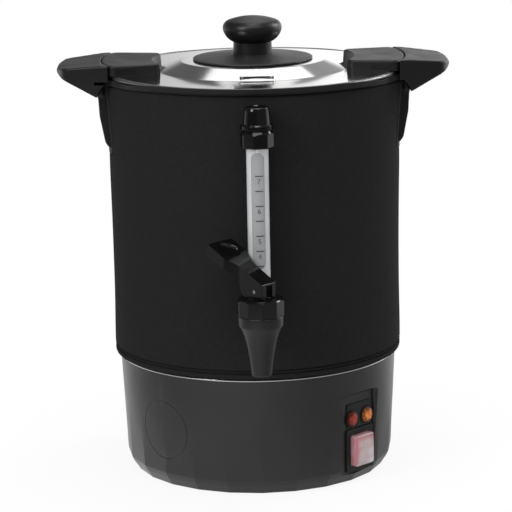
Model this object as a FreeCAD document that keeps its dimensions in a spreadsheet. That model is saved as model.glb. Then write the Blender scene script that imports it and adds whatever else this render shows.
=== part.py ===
"""Hot water urn: a jacketed steel tank on a plastic base, with a lift-off lid, a tap and a sight gauge.

Millimetres. +Z is up, the origin is on the tank's axis at floor level, and the tap points to -Y.
"""
import FreeCAD, Part
import math
import os

import Sketcher

doc = FreeCAD.newDocument("hot_water_urn")
sheet = doc.addObject("Spreadsheet::Sheet", "Sizes")

SIZES = [
    # tank and rim
    ("tank_bore_radius", 114.0),
    ("tank_wall", 0.8),
    ("tank_floor_height", 105.0),
    ("tank_corner_radius", 6.0),
    ("rim_height", 341.2),
    ("rim_radius", 123.2),
    ("rim_bead_radius", 1.3),
    # jacket
    ("jacket_gap", 0.2),
    ("jacket_thickness", 6.2),
    ("jacket_edge_radius", 2.2),
    ("jacket_bottom_gap", 0.7),
    ("jacket_top_gap", 0.4),
    ("hem_width", 6.0),
    ("seam_depth", 0.7),
    ("seam_width", 1.0),
    ("jacket_slot_gap", 0.5),
    # base shell
    ("facet_count", 24),
    ("shell_lift", 0.3),
    ("foot_radius", 105.5),
    ("foot_shoulder_radius", 109.0),
    ("foot_shoulder_height", 4.6),
    ("base_lower_radius", 112.5),
    ("base_lower_height", 12.0),
    ("base_facet_top_radius", 115.6),
    ("base_facet_top_height", 62.0),
    ("base_top_radius", 117.4),
    ("base_top_height", 98.6),
    ("base_wall", 2.6),
    ("trim_thickness", 1.4),
    ("trim_overhang", 0.5),
    ("trim_inner_radius", 104.5),
    ("shelf_height", 91.0),
    ("shelf_thickness", 3.0),
    ("shelf_inner_radius", 96.0),
    ("medallion_radius", 26.0),
    ("medallion_height", 50.0),
    ("medallion_distance", 112.6),
    ("medallion_angle", -45.0),
    ("medallion_rim", 2.0),
    # bottom plate and feet
    ("floor_radius", 100.4),
    ("floor_gap", 0.5),
    ("floor_bottom", 3.0),
    ("floor_thickness", 1.5),
    ("boss_circle_radius", 94.0),
    ("boss_radius", 4.5),
    ("boss_height", 21.0),
    ("boss_rib_thickness", 3.0),
    ("boss_rib_inset", 1.2),
    ("floor_screw_radius", 1.5),
    ("floor_screw_length", 14.0),
    ("floor_screw_head_radius", 3.2),
    ("floor_screw_head_height", 2.0),
    ("screw_clearance", 0.1),
    ("foot_pad_radius", 9.0),
    ("foot_neck_radius", 4.0),
    ("foot_head_radius", 5.2),
    ("foot_head_height", 2.0),
    ("foot_circle_radius", 80.0),
    ("vent_length", 26.0),
    ("vent_width", 3.5),
    ("vent_count", 8),
    ("vent_circle_radius", 52.0),
    # heater and controls under the tank
    ("element_radius", 66.0),
    ("element_thickness", 4.0),
    ("heater_ring_radius", 48.0),
    ("heater_tube_radius", 4.2),
    ("heater_pin_radius", 1.6),
    ("heater_pin_length", 15.0),
    ("stud_circle_radius", 100.0),
    ("stud_radius", 2.0),
    ("stud_length", 21.0),
    ("stud_nut_radius", 4.2),
    ("stud_nut_height", 3.4),
    ("thermostat_radius", 10.0),
    ("thermostat_height", 11.0),
    ("cutout_offset", 30.0),
    ("cutout_radius", 9.0),
    ("cutout_height", 13.0),
    ("reset_radius", 2.4),
    ("reset_length", 7.0),
    ("reset_stroke", 1.5),
    ("reset_stand_out", 4.0),
    ("reset_access_radius", 5.0),
    ("terminal_length", 34.0),
    ("terminal_depth", 17.0),
    ("terminal_rise", 15.0),
    ("terminal_offset", 46.0),
    # control panel
    ("panel_angle", 46.0),
    ("panel_distance", 109.5),
    ("panel_centre", 1.75),
    ("panel_width", 40.5),
    ("panel_bottom", 8.0),
    ("panel_top", 76.0),
    ("panel_wall", 2.6),
    ("panel_side_wall", 2.4),
    ("panel_end_wall", 1.3),
    ("lamp_plate_centre", 4.0),
    ("lamp_plate_width", 30.0),
    ("lamp_plate_bottom", 47.2),
    ("lamp_plate_top", 68.0),
    ("lamp_plate_thickness", 0.9),
    ("lamp_spacing", 18.6),
    ("lamp_height", 55.4),
    ("lamp_radius", 6.8),
    ("lamp_bezel_height", 1.1),
    ("lamp_dome_height", 2.2),
    ("lamp_bezel_width", 0.9),
    ("lamp_stem_radius", 4.6),
    ("lamp_stem_length", 17.0),
    ("lamp_hole_gap", 0.15),
    ("switch_centre", 4.4),
    ("switch_height", 27.8),
    ("bezel_width", 34.0),
    ("bezel_rise", 37.0),
    ("bezel_thickness", 1.8),
    ("boot_width", 23.8),
    ("boot_rise", 26.4),
    ("boot_stand_out", 7.0),
    ("boot_wall", 0.9),
    ("boot_gap", 0.15),
    ("switch_width", 20.4),
    ("switch_rise", 23.0),
    ("switch_depth", 22.0),
    ("switch_stand_out", 0.6),
    ("trunnion_radius", 1.2),
    ("switch_gap", 0.2),
    ("switch_cavity_depth", 9.0),
    ("switch_cavity_wall", 1.2),
    ("rocker_gap", 0.5),
    ("rocker_pivot_depth", 2.0),
    ("rocker_thickness", 4.6),
    ("rocker_dish", 1.4),
    ("rocker_tilt", 7.0),
    ("tab_length", 8.0),
    ("tab_width", 4.8),
    ("tab_thickness", 0.8),
    ("tab_spacing", 10.0),
    # appliance inlet at the back
    ("inlet_distance", 110.8),
    ("inlet_height", 38.0),
    ("inlet_recess_width", 32.0),
    ("inlet_recess_rise", 26.0),
    ("inlet_flange_width", 30.6),
    ("inlet_flange_rise", 24.6),
    ("inlet_flange_thickness", 1.9),
    ("inlet_body_width", 26.4),
    ("inlet_body_rise", 19.4),
    ("inlet_body_depth", 20.0),
    ("inlet_socket_width", 23.6),
    ("inlet_socket_rise", 15.8),
    ("inlet_socket_depth", 16.5),
    ("inlet_pin_width", 4.0),
    ("inlet_pin_thickness", 2.0),
    ("inlet_pin_spacing", 7.0),
    ("inlet_pin_length", 19.0),
    # lid
    ("seal_outer_radius", 119.8),
    ("seal_overhang", 0.3),
    ("seal_thickness", 0.8),
    ("lid_radius", 120.3),
    ("lid_wall", 0.8),
    ("lid_cone_radius", 80.0),
    ("lid_top_radius", 61.0),
    ("lid_step", 7.6),
    ("lid_skirt_gap", 1.0),
    ("lid_skirt_depth", 14.0),
    ("louvre_half_width", 14.0),
    ("louvre_radius", 73.0),
    ("louvre_length", 12.6),
    ("louvre_rise", 2.4),
    ("louvre_slit", 1.1),
    ("louvre_slit_depth", 3.5),
    ("louvre_margin", 1.6),
    ("block_inner_radius", 84.5),
    ("block_outer_radius", 127.0),
    ("block_inner_half", 35.0),
    ("block_outer_half", 43.5),
    ("block_height", 9.5),
    ("block_rim_gap", 0.7),
    ("block_corner_radius", 5.0),
    ("block_edge_radius", 1.6),
    ("block_screw_radius", 1.5),
    ("block_screw_circle", 101.0),
    ("block_screw_half", 22.0),
    ("block_screw_length", 6.5),
    ("block_screw_head_radius", 3.0),
    ("block_screw_head_height", 1.8),
    ("knob_disc_radius", 50.2),
    ("knob_disc_edge", 1.8),
    ("knob_disc_rise", 4.9),
    ("knob_disc_hub_radius", 19.0),
    ("knob_post_radius", 16.4),
    ("knob_post_top_radius", 16.0),
    ("knob_post_height", 9.8),
    ("knob_radius", 24.5),
    ("knob_belly_height", 19.4),
    ("knob_shoulder_radius", 20.5),
    ("knob_shoulder_height", 27.8),
    ("knob_height", 31.4),
    ("knob_under_round", 15.0),
    ("knob_side_round", 7.0),
    ("knob_screw_radius", 2.1),
    ("knob_screw_length", 21.0),
    ("knob_screw_head_radius", 4.8),
    ("knob_screw_head_height", 3.0),
    # handles
    ("handle_root_radius", 127.8),
    ("handle_root_half", 43.5),
    ("handle_shoulder_reach", 158.0),
    ("handle_tip_half", 33.0),
    ("handle_nose_length", 7.0),
    ("handle_nose_round", 81.0),
    ("handle_tip_corner", 9.0),
    ("handle_rise", 9.3),
    ("handle_shoulder_drop", 3.1),
    ("handle_nose_fall", 6.9),
    ("handle_nose_drop", 3.6),
    ("handle_nose_undercut", 3.6),
    ("handle_heel_reach", 129.6),
    ("handle_heel_drop", 17.8),
    ("leg_half", 24.0),
    ("leg_inner_radius", 116.6),
    ("leg_top_gap", 1.6),
    ("leg_root_reach", 136.0),
    ("leg_belly_reach", 129.2),
    ("leg_belly_drop", 17.4),
    ("leg_toe_reach", 124.9),
    ("leg_toe_rise", 4.2),
    ("leg_length", 44.6),
    ("leg_bottom_reach", 122.2),
    ("leg_toe_round", 5.0),
    ("notch_inner_reach", 118.0),
    ("notch_outer_reach", 132.2),
    ("notch_depth", 16.0),
    ("notch_drop", 6.8),
    ("notch_rise", 2.8),
    ("handle_plate_thickness", 1.6),
    ("handle_plate_half", 17.0),
    ("handle_plate_rise", 5.2),
    ("handle_plate_drop", 8.2),
    ("handle_screw_radius", 2.0),
    ("handle_screw_inset", 8.0),
    ("handle_screw_length", 9.0),
    # sight gauge and its shank
    ("gauge_distance", 136.0),
    ("shank_height", 156.0),
    ("shank_radius", 9.4),
    ("shank_bore_radius", 6.2),
    ("shank_inner_end", 104.0),
    ("shank_outer_end", 151.5),
    ("shank_flange_radius", 14.0),
    ("shank_flange_end", 121.6),
    ("shank_barrel_radius", 12.0),
    ("shank_barrel_end", 147.5),
    ("washer_radius", 13.0),
    ("washer_thickness", 2.4),
    ("washer_curve_gap", 0.05),
    ("shank_nut_radius", 15.0),
    ("shank_nut_thickness", 4.0),
    ("thread_gap", 0.05),
    ("jacket_shank_gap", 1.0),
    ("boss_outer_radius", 11.2),
    ("boss_rise", 16.0),
    ("tube_radius", 6.0),
    ("tube_wall", 1.0),
    ("tube_seat_depth", 8.8),
    ("tube_top_drop", 0.4),
    ("tube_gap", 0.1),
    ("tube_seal_radius", 8.4),
    ("tube_seal_height", 4.0),
    ("shield_radius", 9.4),
    ("shield_wall", 1.2),
    ("collar_socket_depth", 2.4),
    ("shield_gap", 0.15),
    ("window_width", 10.4),
    ("window_rise", 26.6),
    ("window_drop", 3.0),
    ("window_wall", 0.8),
    ("window_gap", 0.1),
    ("collar_radius", 13.9),
    ("collar_sides", 8),
    ("collar_height", 14.8),
    ("gauge_drop", 29.8),
    ("collar_chamfer", 4.0),
    ("cap_skirt_radius", 12.7),
    ("cap_skirt_height", 3.6),
    ("cap_lower_radius", 11.4),
    ("cap_upper_radius", 10.2),
    ("cap_height", 17.8),
    ("cap_round", 2.4),
    ("cap_wall", 2.0),
    ("cap_vent_radius", 0.8),
    ("cap_seal_thickness", 1.6),
    # tap
    ("tap_distance", 167.0),
    ("tap_body_radius", 18.3),
    ("tap_top_rise", 11.0),
    ("tap_shoulder_drop", 7.5),
    ("nozzle_waist_radius", 12.2),
    ("nozzle_waist_drop", 12.5),
    ("nozzle_lower_radius", 9.9),
    ("nozzle_lower_drop", 11.5),
    ("nozzle_tip_radius", 8.0),
    ("nozzle_tip_drop", 38.5),
    ("nozzle_bore_radius", 6.0),
    ("tap_cavity_radius", 13.0),
    ("tap_cavity_low_radius", 10.2),
    ("tap_cavity_drop", 6.0),
    ("tap_floor_drop", 9.5),
    ("tap_seat_depth", 3.5),
    ("tap_inlet_radius", 10.8),
    ("tap_inlet_end", 147.8),
    ("tap_socket_depth", 4.8),
    ("tap_passage_radius", 5.6),
    ("tap_neck_radius", 16.4),
    ("tap_neck_height", 7.0),
    ("bonnet_radius", 19.1),
    ("bonnet_sides", 10),
    ("bonnet_height", 14.0),
    ("bonnet_chamfer", 1.6),
    ("bonnet_gap", 0.15),
    ("gasket_thickness", 1.6),
    ("stem_radius", 3.6),
    ("stem_gap", 0.08),
    ("stem_rise", 6.0),
    ("stem_eye_width", 7.4),
    ("stem_eye_length", 7.6),
    ("stem_eye_gap", 0.6),
    ("stem_eye_height", 8.4),
    ("seat_cup_radius", 9.0),
    ("seat_cup_height", 12.0),
    ("seat_clearance", 0.2),
    ("seat_lift", 1.2),
    ("seat_socket_gap", 0.05),
    ("pin_radius", 1.5),
    ("pin_gap", 0.06),
    ("pivot_rise", 6.0),
    ("lever_angle", 138.7),
    ("lever_heel", 8.8),
    ("lever_heel_rise", 6.2),
    ("lever_foot_gap", 0.5),
    ("lever_cam_reach", 8.1),
    ("lever_cam_radius", 5.3),
    ("lever_reach", 43.0),
    ("lever_rise", 29.0),
    ("lever_skirt", 9.0),
    ("lever_block_width", 17.0),
    ("lever_tip_width", 29.0),
    ("lever_neck_reach", 15.0),
    ("lever_flare_reach", 25.5),
    ("lever_plate_thickness", 3.4),
    ("lever_side_wall", 2.2),
    ("lever_slot_gap", 0.3),
    ("lever_slot_reach", 8.8),
    ("lever_slot_clearance", 3.0),
    ("dish_radius", 16.0),
    ("dish_depth", 1.8),
    ("dish_reach", 31.0),
]

# Lengths that follow other sizes, so that pieces which keep together move together.
TIED = {
    # handles, down from the rim and out from the shoulder
    "handle_top": "rim_height + handle_rise",
    "handle_shoulder_top": "handle_top - handle_shoulder_drop",
    "handle_nose_height": "handle_top - handle_nose_fall",
    "handle_heel_height": "rim_height - handle_heel_drop",
    "handle_reach": "handle_shoulder_reach + handle_nose_length",
    "handle_under_reach": "handle_reach - handle_nose_undercut",
    "leg_belly_height": "handle_heel_height - leg_belly_drop",
    "leg_bottom": "handle_heel_height - leg_length",
    "leg_toe_height": "leg_bottom + leg_toe_rise",
    "notch_height": "rim_height - notch_drop",
    "handle_plate_bottom": "leg_bottom + handle_plate_rise",
    "handle_plate_top": "rim_height - handle_plate_drop",
    "handle_screw_low": "handle_plate_bottom + handle_screw_inset",
    "handle_screw_high": "handle_plate_top - handle_screw_inset",
    # sight gauge: its foot stands on the shank, and its head stays below the rim
    "boss_top": "shank_height + boss_rise",
    "tube_bottom": "boss_top - tube_seat_depth",
    "collar_top": "rim_height - gauge_drop",
    "collar_bottom": "collar_top - collar_height",
    "tube_top": "collar_top - tube_top_drop",
    "shield_top": "collar_bottom + collar_socket_depth",
    "window_bottom": "boss_top + window_rise",
    "window_top": "collar_bottom - window_drop",
    # tap, measured from the shank's axis
    "tap_body_top": "shank_height + tap_top_rise",
    "tap_shoulder_height": "tap_body_top - tap_shoulder_drop",
    "tap_cavity_height": "tap_body_top - tap_cavity_drop",
    "tap_cavity_floor": "shank_height - tap_floor_drop",
    "nozzle_waist_height": "shank_height - nozzle_waist_drop",
    "nozzle_lower_height": "nozzle_waist_height - nozzle_lower_drop",
    "nozzle_tip_height": "shank_height - nozzle_tip_drop",
    "bonnet_top": "tap_body_top + bonnet_height",
    "stem_bottom": "tap_cavity_floor + stem_rise",
    "stem_eye_bottom": "bonnet_top + stem_eye_gap",
    "stem_eye_top": "stem_eye_bottom + stem_eye_height",
    "pivot_height": "bonnet_top + pivot_rise",
    "lever_heel_height": "pivot_height + lever_heel_rise",
    "lever_foot_height": "bonnet_top + lever_foot_gap",
}

for row, (alias, number) in enumerate(SIZES, start=1):
    sheet.set("A%d" % row, alias)
    sheet.set("B%d" % row, str(number))
    sheet.setAlias("B%d" % row, alias)
doc.recompute()

ALIASES = {alias for alias, number in SIZES}


def words(text):
    """Split an expression into names and the rest, in order."""
    pieces = [""]
    for letter in text:
        is_name = letter.isalnum() or letter == "_"
        was_name = bool(pieces[-1]) and (pieces[-1][-1].isalnum() or pieces[-1][-1] == "_")
        if is_name == was_name:
            pieces[-1] += letter
        else:
            pieces.append(letter)
    return pieces


def bound(text):
    """An expression written with plain size names, made to read them from the sheet."""
    pieces = []
    for word in words(text):
        if word in TIED:
            pieces.append("(%s)" % bound(TIED[word]))
        else:
            pieces.append("Sizes." + word if word in ALIASES else word)
    return "".join(pieces)


def number(text):
    """The present value of an expression."""
    return float(sheet.evalExpression(bound(text)))


def bind(thing, prop, text):
    thing.setExpression(prop, bound(text))


# Turns that carry a piece's own +Z to the direction in which it points.
UP = "rotation(vector(0; 0; 1); 0)"
FRONT = "rotation(vector(1; 0; 0); 90)"
PANEL = "rotation(vector(0; 0; 1); panel_angle) * rotation(vector(1; 0; 0); 90)"
BACK = "rotation(vector(0; 0; 1); 180) * rotation(vector(1; 0; 0); 90)"
MEDALLION = "rotation(vector(0; 0; 1); medallion_angle) * rotation(vector(1; 0; 0); 90)"
LEFT = "rotation(vector(0; 0; 1); 180)"
LEVER = "rotation(vector(0; 0; 1); lever_angle)"
LEVER_PIN = "rotation(vector(0; 0; 1); lever_angle) * rotation(vector(1; 0; 0); 90)"


def place(thing, x="0", y="0", z="0", turn=UP):
    """Place a piece by expressions; x, y and z are in the part's frame."""
    bind(thing, "Placement", "placement(vector(%s; %s; %s); %s)" % (x, y, z, turn))
    return thing


def shift(thing, x, y, z, turn):
    """Place a piece by x, y and z measured along the turned axes."""
    text = "placement(vector(0; 0; 0); %s) * placement(vector(%s; %s; %s); %s)"
    bind(thing, "Placement", text % (turn, x, y, z, UP))
    return thing


def cylinder(name, radius, height):
    piece = doc.addObject("Part::Cylinder", name)
    bind(piece, "Radius", radius)
    bind(piece, "Height", height)
    return piece


def cone(name, low_radius, high_radius, height):
    piece = doc.addObject("Part::Cone", name)
    bind(piece, "Radius1", low_radius)
    bind(piece, "Radius2", high_radius)
    bind(piece, "Height", height)
    return piece


def prism(name, sides, radius, height):
    piece = doc.addObject("Part::Prism", name)
    bind(piece, "Polygon", sides)
    bind(piece, "Circumradius", radius)
    bind(piece, "Height", height)
    return piece


def box(name, length, width, height):
    piece = doc.addObject("Part::Box", name)
    bind(piece, "Length", length)
    bind(piece, "Width", width)
    bind(piece, "Height", height)
    return piece


def fuse(name, *pieces):
    joined = doc.addObject("Part::MultiFuse", name)
    joined.Shapes = list(pieces)
    return joined


def common(name, *pieces):
    shared = doc.addObject("Part::MultiCommon", name)
    shared.Shapes = list(pieces)
    return shared


def cut(name, base, *tools):
    tool = tools[0] if len(tools) == 1 else fuse(name + "_tools", *tools)
    result = doc.addObject("Part::Cut", name)
    result.Base = base
    result.Tool = tool
    return result


def group(name, pieces):
    """Separate solids that share one node."""
    together = doc.addObject("Part::Compound", name)
    together.Links = list(pieces)
    return together


def tube(name, outer, inner, height, z="0", x="0", y="0", turn=UP):
    """A plain ring or tube; the bore runs past both faces."""
    solid = place(cylinder(name + "_outside", outer, height), x, y, z, turn)
    bore = place(cylinder(name + "_bore", inner, height), x, y, z, turn)
    return cut(name, solid, bore)


def origin_plane(body, role):
    return next(item for item in body.Origin.OriginFeatures if item.Role == role)


def arc(start, end, radius):
    """The short arc between two points, stored anticlockwise as a sketch keeps it.

    A positive radius bulges to the right of the way from start to end.
    """
    chord = end - start
    reach = math.sqrt(max(radius ** 2 - chord.Length ** 2 / 4, 0.0))
    left = FreeCAD.Vector(-chord.y, chord.x, 0).normalize()
    centre = start + chord / 2 + left * math.copysign(reach, radius)
    middle = centre - left * radius
    return Part.Arc(start, middle, end) if radius > 0 else Part.Arc(end, middle, start)


def draw(body, name, role, points):
    """A closed outline in one of the body's planes.

    Each point is (x, y) or (x, y, radius), where radius rounds the line that arrives at it.
    """
    sketch = body.newObject("Sketcher::SketchObject", name)
    sketch.AttachmentSupport = [(origin_plane(body, role), "")]
    sketch.MapMode = "FlatFace"
    spots = [FreeCAD.Vector(number(point[0]), number(point[1]), 0) for point in points]
    joins = []
    for index, point in enumerate(points):
        start = spots[index - 1]
        end = spots[index]
        radius = number(point[2]) if len(point) == 3 else None
        line = Part.LineSegment(start, end) if radius is None else arc(start, end, radius)
        sketch.addGeometry(line, False)
        joins.append((1, 2) if radius is None or radius > 0 else (2, 1))
    for index, point in enumerate(points):
        after = (index + 1) % len(points)
        end = joins[index][1]
        sketch.addConstraint(Sketcher.Constraint("Coincident", index, end, after, joins[after][0]))
        for kind, axis, text in (("DistanceX", -2, point[0]), ("DistanceY", -1, point[1])):
            if text == "0":
                sketch.addConstraint(Sketcher.Constraint("PointOnObject", index, end, axis))
            else:
                held = sketch.addConstraint(Sketcher.Constraint(kind, -1, 1, index, end, number(text)))
                bind(sketch, "Constraints[%d]" % held, text)
        if len(point) == 3:
            held = sketch.addConstraint(Sketcher.Constraint("Radius", index, abs(number(point[2]))))
            bind(sketch, "Constraints[%d]" % held, "abs(%s)" % point[2])
    return sketch


def turned(name, points):
    """A body of revolution about +Z from an outline of (radius, height)."""
    body = doc.addObject("PartDesign::Body", name)
    sketch = draw(body, name + "_outline", "XZ_Plane", points)
    spin = body.newObject("PartDesign::Revolution", name + "_turned")
    spin.Profile = sketch
    spin.ReferenceAxis = (sketch, ["V_Axis"])
    spin.Angle = 360
    return body


def padded(name, role, points, length, both_ways=False):
    """A body of constant section: along +Z from the XY plane, or along Y from the XZ plane."""
    body = doc.addObject("PartDesign::Body", name)
    sketch = draw(body, name + "_outline", role, points)
    pad = body.newObject("PartDesign::Pad", name + "_pad")
    pad.Profile = sketch
    bind(pad, "Length", length)
    if both_ways:
        pad.SideType = "Symmetric"
    return body


def rounded(body, name, radius, wanted):
    """Round the edges of the body's last feature whose middle passes the test."""
    doc.recompute()
    base = body.Tip
    names = []
    for index, edge in enumerate(base.Shape.Edges, start=1):
        spot = edge.valueAt((edge.FirstParameter + edge.LastParameter) / 2)
        if wanted(spot, edge):
            names.append("Edge%d" % index)
    fillet = body.newObject("PartDesign::Fillet", name)
    fillet.Base = (base, names)
    bind(fillet, "Radius", radius)
    return fillet


nodes = []


def node(thing, label):
    """Name a finished sub-part; its label is its file's name."""
    thing.Label = label
    nodes.append(thing)
    return thing


# The tank: a drawn pot with a flat lip and a rolled bead.
TANK_OUTSIDE = "tank_bore_radius + tank_wall"
BEAD_CENTRE = "rim_radius - rim_bead_radius"
BEAD_BOTTOM = "rim_height - 2 * rim_bead_radius"
LIP_TOP = "rim_height - 2 * rim_bead_radius + tank_wall"
LIP_EDGE = "rim_radius - rim_bead_radius - sqrt(rim_bead_radius ^ 2 - (rim_bead_radius - tank_wall) ^ 2)"


def make_tank():
    pot = turned("tank_pot", [
        ("0", "tank_floor_height"),
        (TANK_OUTSIDE + " - tank_corner_radius - tank_wall", "tank_floor_height"),
        (TANK_OUTSIDE, "tank_floor_height + tank_corner_radius + tank_wall",
         "tank_corner_radius + tank_wall"),
        (TANK_OUTSIDE, BEAD_BOTTOM),
        (BEAD_CENTRE, BEAD_BOTTOM),
        ("rim_radius", "rim_height - rim_bead_radius", "rim_bead_radius"),
        (BEAD_CENTRE, "rim_height", "rim_bead_radius"),
        (LIP_EDGE, LIP_TOP, "rim_bead_radius"),
        ("tank_bore_radius", LIP_TOP),
        ("tank_bore_radius", "tank_floor_height + tank_corner_radius + tank_wall"),
        ("tank_bore_radius - tank_corner_radius", "tank_floor_height + tank_wall", "-tank_corner_radius"),
        ("0", "tank_floor_height + tank_wall"),
    ])
    hole = cylinder("tank_shank_hole", "shank_radius + thread_gap", "tank_bore_radius + 20")
    place(hole, z="shank_height", turn=FRONT)
    return node(cut("tank_cut", pot, hole), "tank")


def around(count, start=0.0):
    """Angles in degrees of count places round the axis."""
    return [start + 360.0 * index / count for index in range(count)]


def on_circle(thing, radius, degrees, z, turn=""):
    """Place a piece at an angle on a circle about the axis, turned with that angle."""
    spin = "rotation(vector(0; 0; 1); %s)" % degrees
    text = "placement(vector(0; 0; 0); %s) * placement(vector(%s; 0; %s); %s)"
    bind(thing, "Placement", text % (spin, radius, z, turn or UP))
    return thing


def make_tank_studs():
    studs = []
    nuts = []
    for index, angle in enumerate(around(3, 30.0)):
        stud = cylinder("stud_%d" % index, "stud_radius", "stud_length")
        studs.append(on_circle(stud, "stud_circle_radius", angle, "tank_floor_height - stud_length"))
        nut = prism("stud_nut_%d" % index, "6", "stud_nut_radius", "stud_nut_height")
        bore = cylinder("stud_nut_bore_%d" % index, "stud_radius + thread_gap", "stud_nut_height")
        for piece in (nut, bore):
            on_circle(piece, "stud_circle_radius", angle, "shelf_height - stud_nut_height")
        nuts.append(cut("stud_nut_cut_%d" % index, nut, bore))
    node(group("tank_studs_group", studs), "tank_studs")
    node(group("tank_nuts_group", nuts), "tank_nuts")


# The base shell: 24 flats that fade into a round band, a shelf for the tank's studs, four screw
# bosses, a recessed control panel and a recess for the appliance inlet.
def facet_wire(name, radius, z):
    wire = doc.addObject("Part::RegularPolygon", name)
    bind(wire, "Polygon", "facet_count")
    bind(wire, "Circumradius", "(%s) / cos(180 / facet_count)" % radius)
    return place(wire, z=z, turn="rotation(vector(0; 0; 1); 180 / facet_count)")


def loft(name, *sections):
    skin = doc.addObject("Part::Loft", name)
    skin.Sections = list(sections)
    skin.Solid = True
    skin.Ruled = True
    return skin


def shell_outside(name):
    foot = loft(name + "_foot", facet_wire(name + "_w1", "foot_radius", "shell_lift"),
                facet_wire(name + "_w2", "foot_shoulder_radius", "foot_shoulder_height"),
                facet_wire(name + "_w3", "base_lower_radius", "base_lower_height"))
    ring = doc.addObject("Part::Circle", name + "_ring")
    bind(ring, "Radius", "base_facet_top_radius")
    place(ring, z="base_facet_top_height", turn="rotation(vector(0; 0; 1); 180 / facet_count)")
    sides = loft(name + "_sides", facet_wire(name + "_w4", "base_lower_radius", "base_lower_height"), ring)
    band = cone(name + "_band", "base_facet_top_radius", "base_top_radius",
                "base_top_height - base_facet_top_height")
    place(band, z="base_facet_top_height")
    return fuse(name, foot, sides, band)


INNER_TOP = "base_top_radius - base_wall"
INNER_MIDDLE = "base_facet_top_radius - base_wall"
INNER_LOW = "base_lower_radius - base_wall"


def shell_inside():
    mouth = place(cylinder("shell_mouth", "floor_radius + floor_gap", "20"), z="-10")
    return fuse("shell_inside", mouth, turned("shell_cavity", [
        ("0", "floor_bottom"),
        ("floor_radius + floor_gap", "floor_bottom"),
        ("foot_shoulder_radius - 2 * base_wall", "floor_bottom + floor_thickness"),
        (INNER_LOW, "base_lower_height + base_wall"),
        (INNER_MIDDLE, "base_facet_top_height"),
        (INNER_TOP, "base_top_height + 1"),
        ("0", "base_top_height + 1"),
    ]))


def panel_box(name, width, rise, depth, centre, bottom, distance, turn=PANEL):
    """A box in a panel's frame: centre across it, bottom above the floor, distance from the axis."""
    piece = box(name, width, rise, depth)
    return shift(piece, "%s - (%s) / 2" % (centre, width), bottom, distance, turn)


def panel_round(name, radius, depth, centre, height, distance, turn=PANEL):
    return shift(cylinder(name, radius, depth), centre, height, distance, turn)


SWITCH_BOTTOM = "switch_height - switch_rise / 2"
LAMPS = (("red_lamp", "lamp_plate_centre - lamp_spacing / 2"),
         ("amber_lamp", "lamp_plate_centre + lamp_spacing / 2"))


def make_base_shell():
    wall = cut("shell_wall", shell_outside("shell_body"), shell_inside())
    shelf = tube("shell_shelf", INNER_TOP + " + base_wall / 2", "shelf_inner_radius", "shelf_thickness",
                 z="shelf_height")
    solids = [wall, shelf]
    holes = []
    for index, angle in enumerate(around(4)):
        boss = cylinder("boss_%d" % index, "boss_radius", "boss_height")
        solids.append(on_circle(boss, "boss_circle_radius", angle, "floor_bottom + floor_thickness"))
        rib = box("boss_rib_%d" % index, "foot_shoulder_radius - boss_circle_radius - boss_rib_inset",
                  "boss_rib_thickness", "boss_height")
        spin = "rotation(vector(0; 0; 1); %s)" % angle
        text = "placement(vector(0; 0; 0); %s) * placement(vector(%s; %s; %s); %s)"
        bind(rib, "Placement", text % (spin, "boss_circle_radius", "-boss_rib_thickness / 2",
                                       "floor_bottom + floor_thickness", UP))
        solids.append(rib)
        hole = cylinder("boss_hole_%d" % index, "floor_screw_radius + screw_clearance",
                        "floor_screw_length + 1")
        holes.append(on_circle(hole, "boss_circle_radius", angle, "floor_bottom"))
    for index, angle in enumerate(around(3, 30.0)):
        hole = cylinder("shelf_hole_%d" % index, "stud_radius + screw_clearance", "shelf_thickness + 2")
        holes.append(on_circle(hole, "stud_circle_radius", angle, "shelf_height - 1"))
    panel_back = panel_box("panel_back", "panel_width + 2 * panel_side_wall",
                           "panel_top - panel_bottom + 2 * panel_end_wall", "panel_wall + 8", "panel_centre",
                           "panel_bottom - panel_end_wall", "panel_distance - panel_wall")
    inlet_back = panel_box("inlet_back", "inlet_recess_width + 2 * panel_side_wall",
                           "inlet_recess_rise + 2 * panel_side_wall", "panel_wall + 8", "0",
                           "inlet_height - inlet_recess_rise / 2 - panel_side_wall",
                           "inlet_distance - panel_wall", BACK)
    medallion_back = panel_round("medallion_back", "medallion_radius + medallion_rim", "base_wall + 8", "0",
                                 "medallion_height", "medallion_distance - base_wall", MEDALLION)
    backs = fuse("wall_backs", panel_back, inlet_back, medallion_back)
    solids.append(common("wall_backs_trimmed", backs, shell_outside("shell_form")))
    holes.append(panel_box("panel_recess", "panel_width", "panel_top - panel_bottom", "20", "panel_centre",
                           "panel_bottom", "panel_distance"))
    holes.append(panel_box("inlet_recess", "inlet_recess_width", "inlet_recess_rise", "20", "0",
                           "inlet_height - inlet_recess_rise / 2", "inlet_distance", BACK))
    holes.append(panel_box("inlet_hole", "inlet_body_width + 2 * switch_gap",
                           "inlet_body_rise + 2 * switch_gap", "panel_wall + 4", "0",
                           "inlet_height - inlet_body_rise / 2 - switch_gap",
                           "inlet_distance - panel_wall - 2", BACK))
    holes.append(panel_box("switch_hole", "switch_width + 2 * switch_gap", "switch_rise + 2 * switch_gap",
                           "panel_wall + 4", "switch_centre", SWITCH_BOTTOM + " - switch_gap",
                           "panel_distance - panel_wall - 2"))
    for name, centre in LAMPS:
        holes.append(panel_round(name + "_hole", "lamp_stem_radius + lamp_hole_gap", "panel_wall + 4", centre,
                                 "lamp_height", "panel_distance - panel_wall - 2"))
    holes.append(panel_round("medallion_flat", "medallion_radius", "10", "0", "medallion_height",
                             "medallion_distance", MEDALLION))
    return node(cut("base_shell_cut", fuse("base_shell_solids", *solids), *holes), "base_shell")


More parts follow.
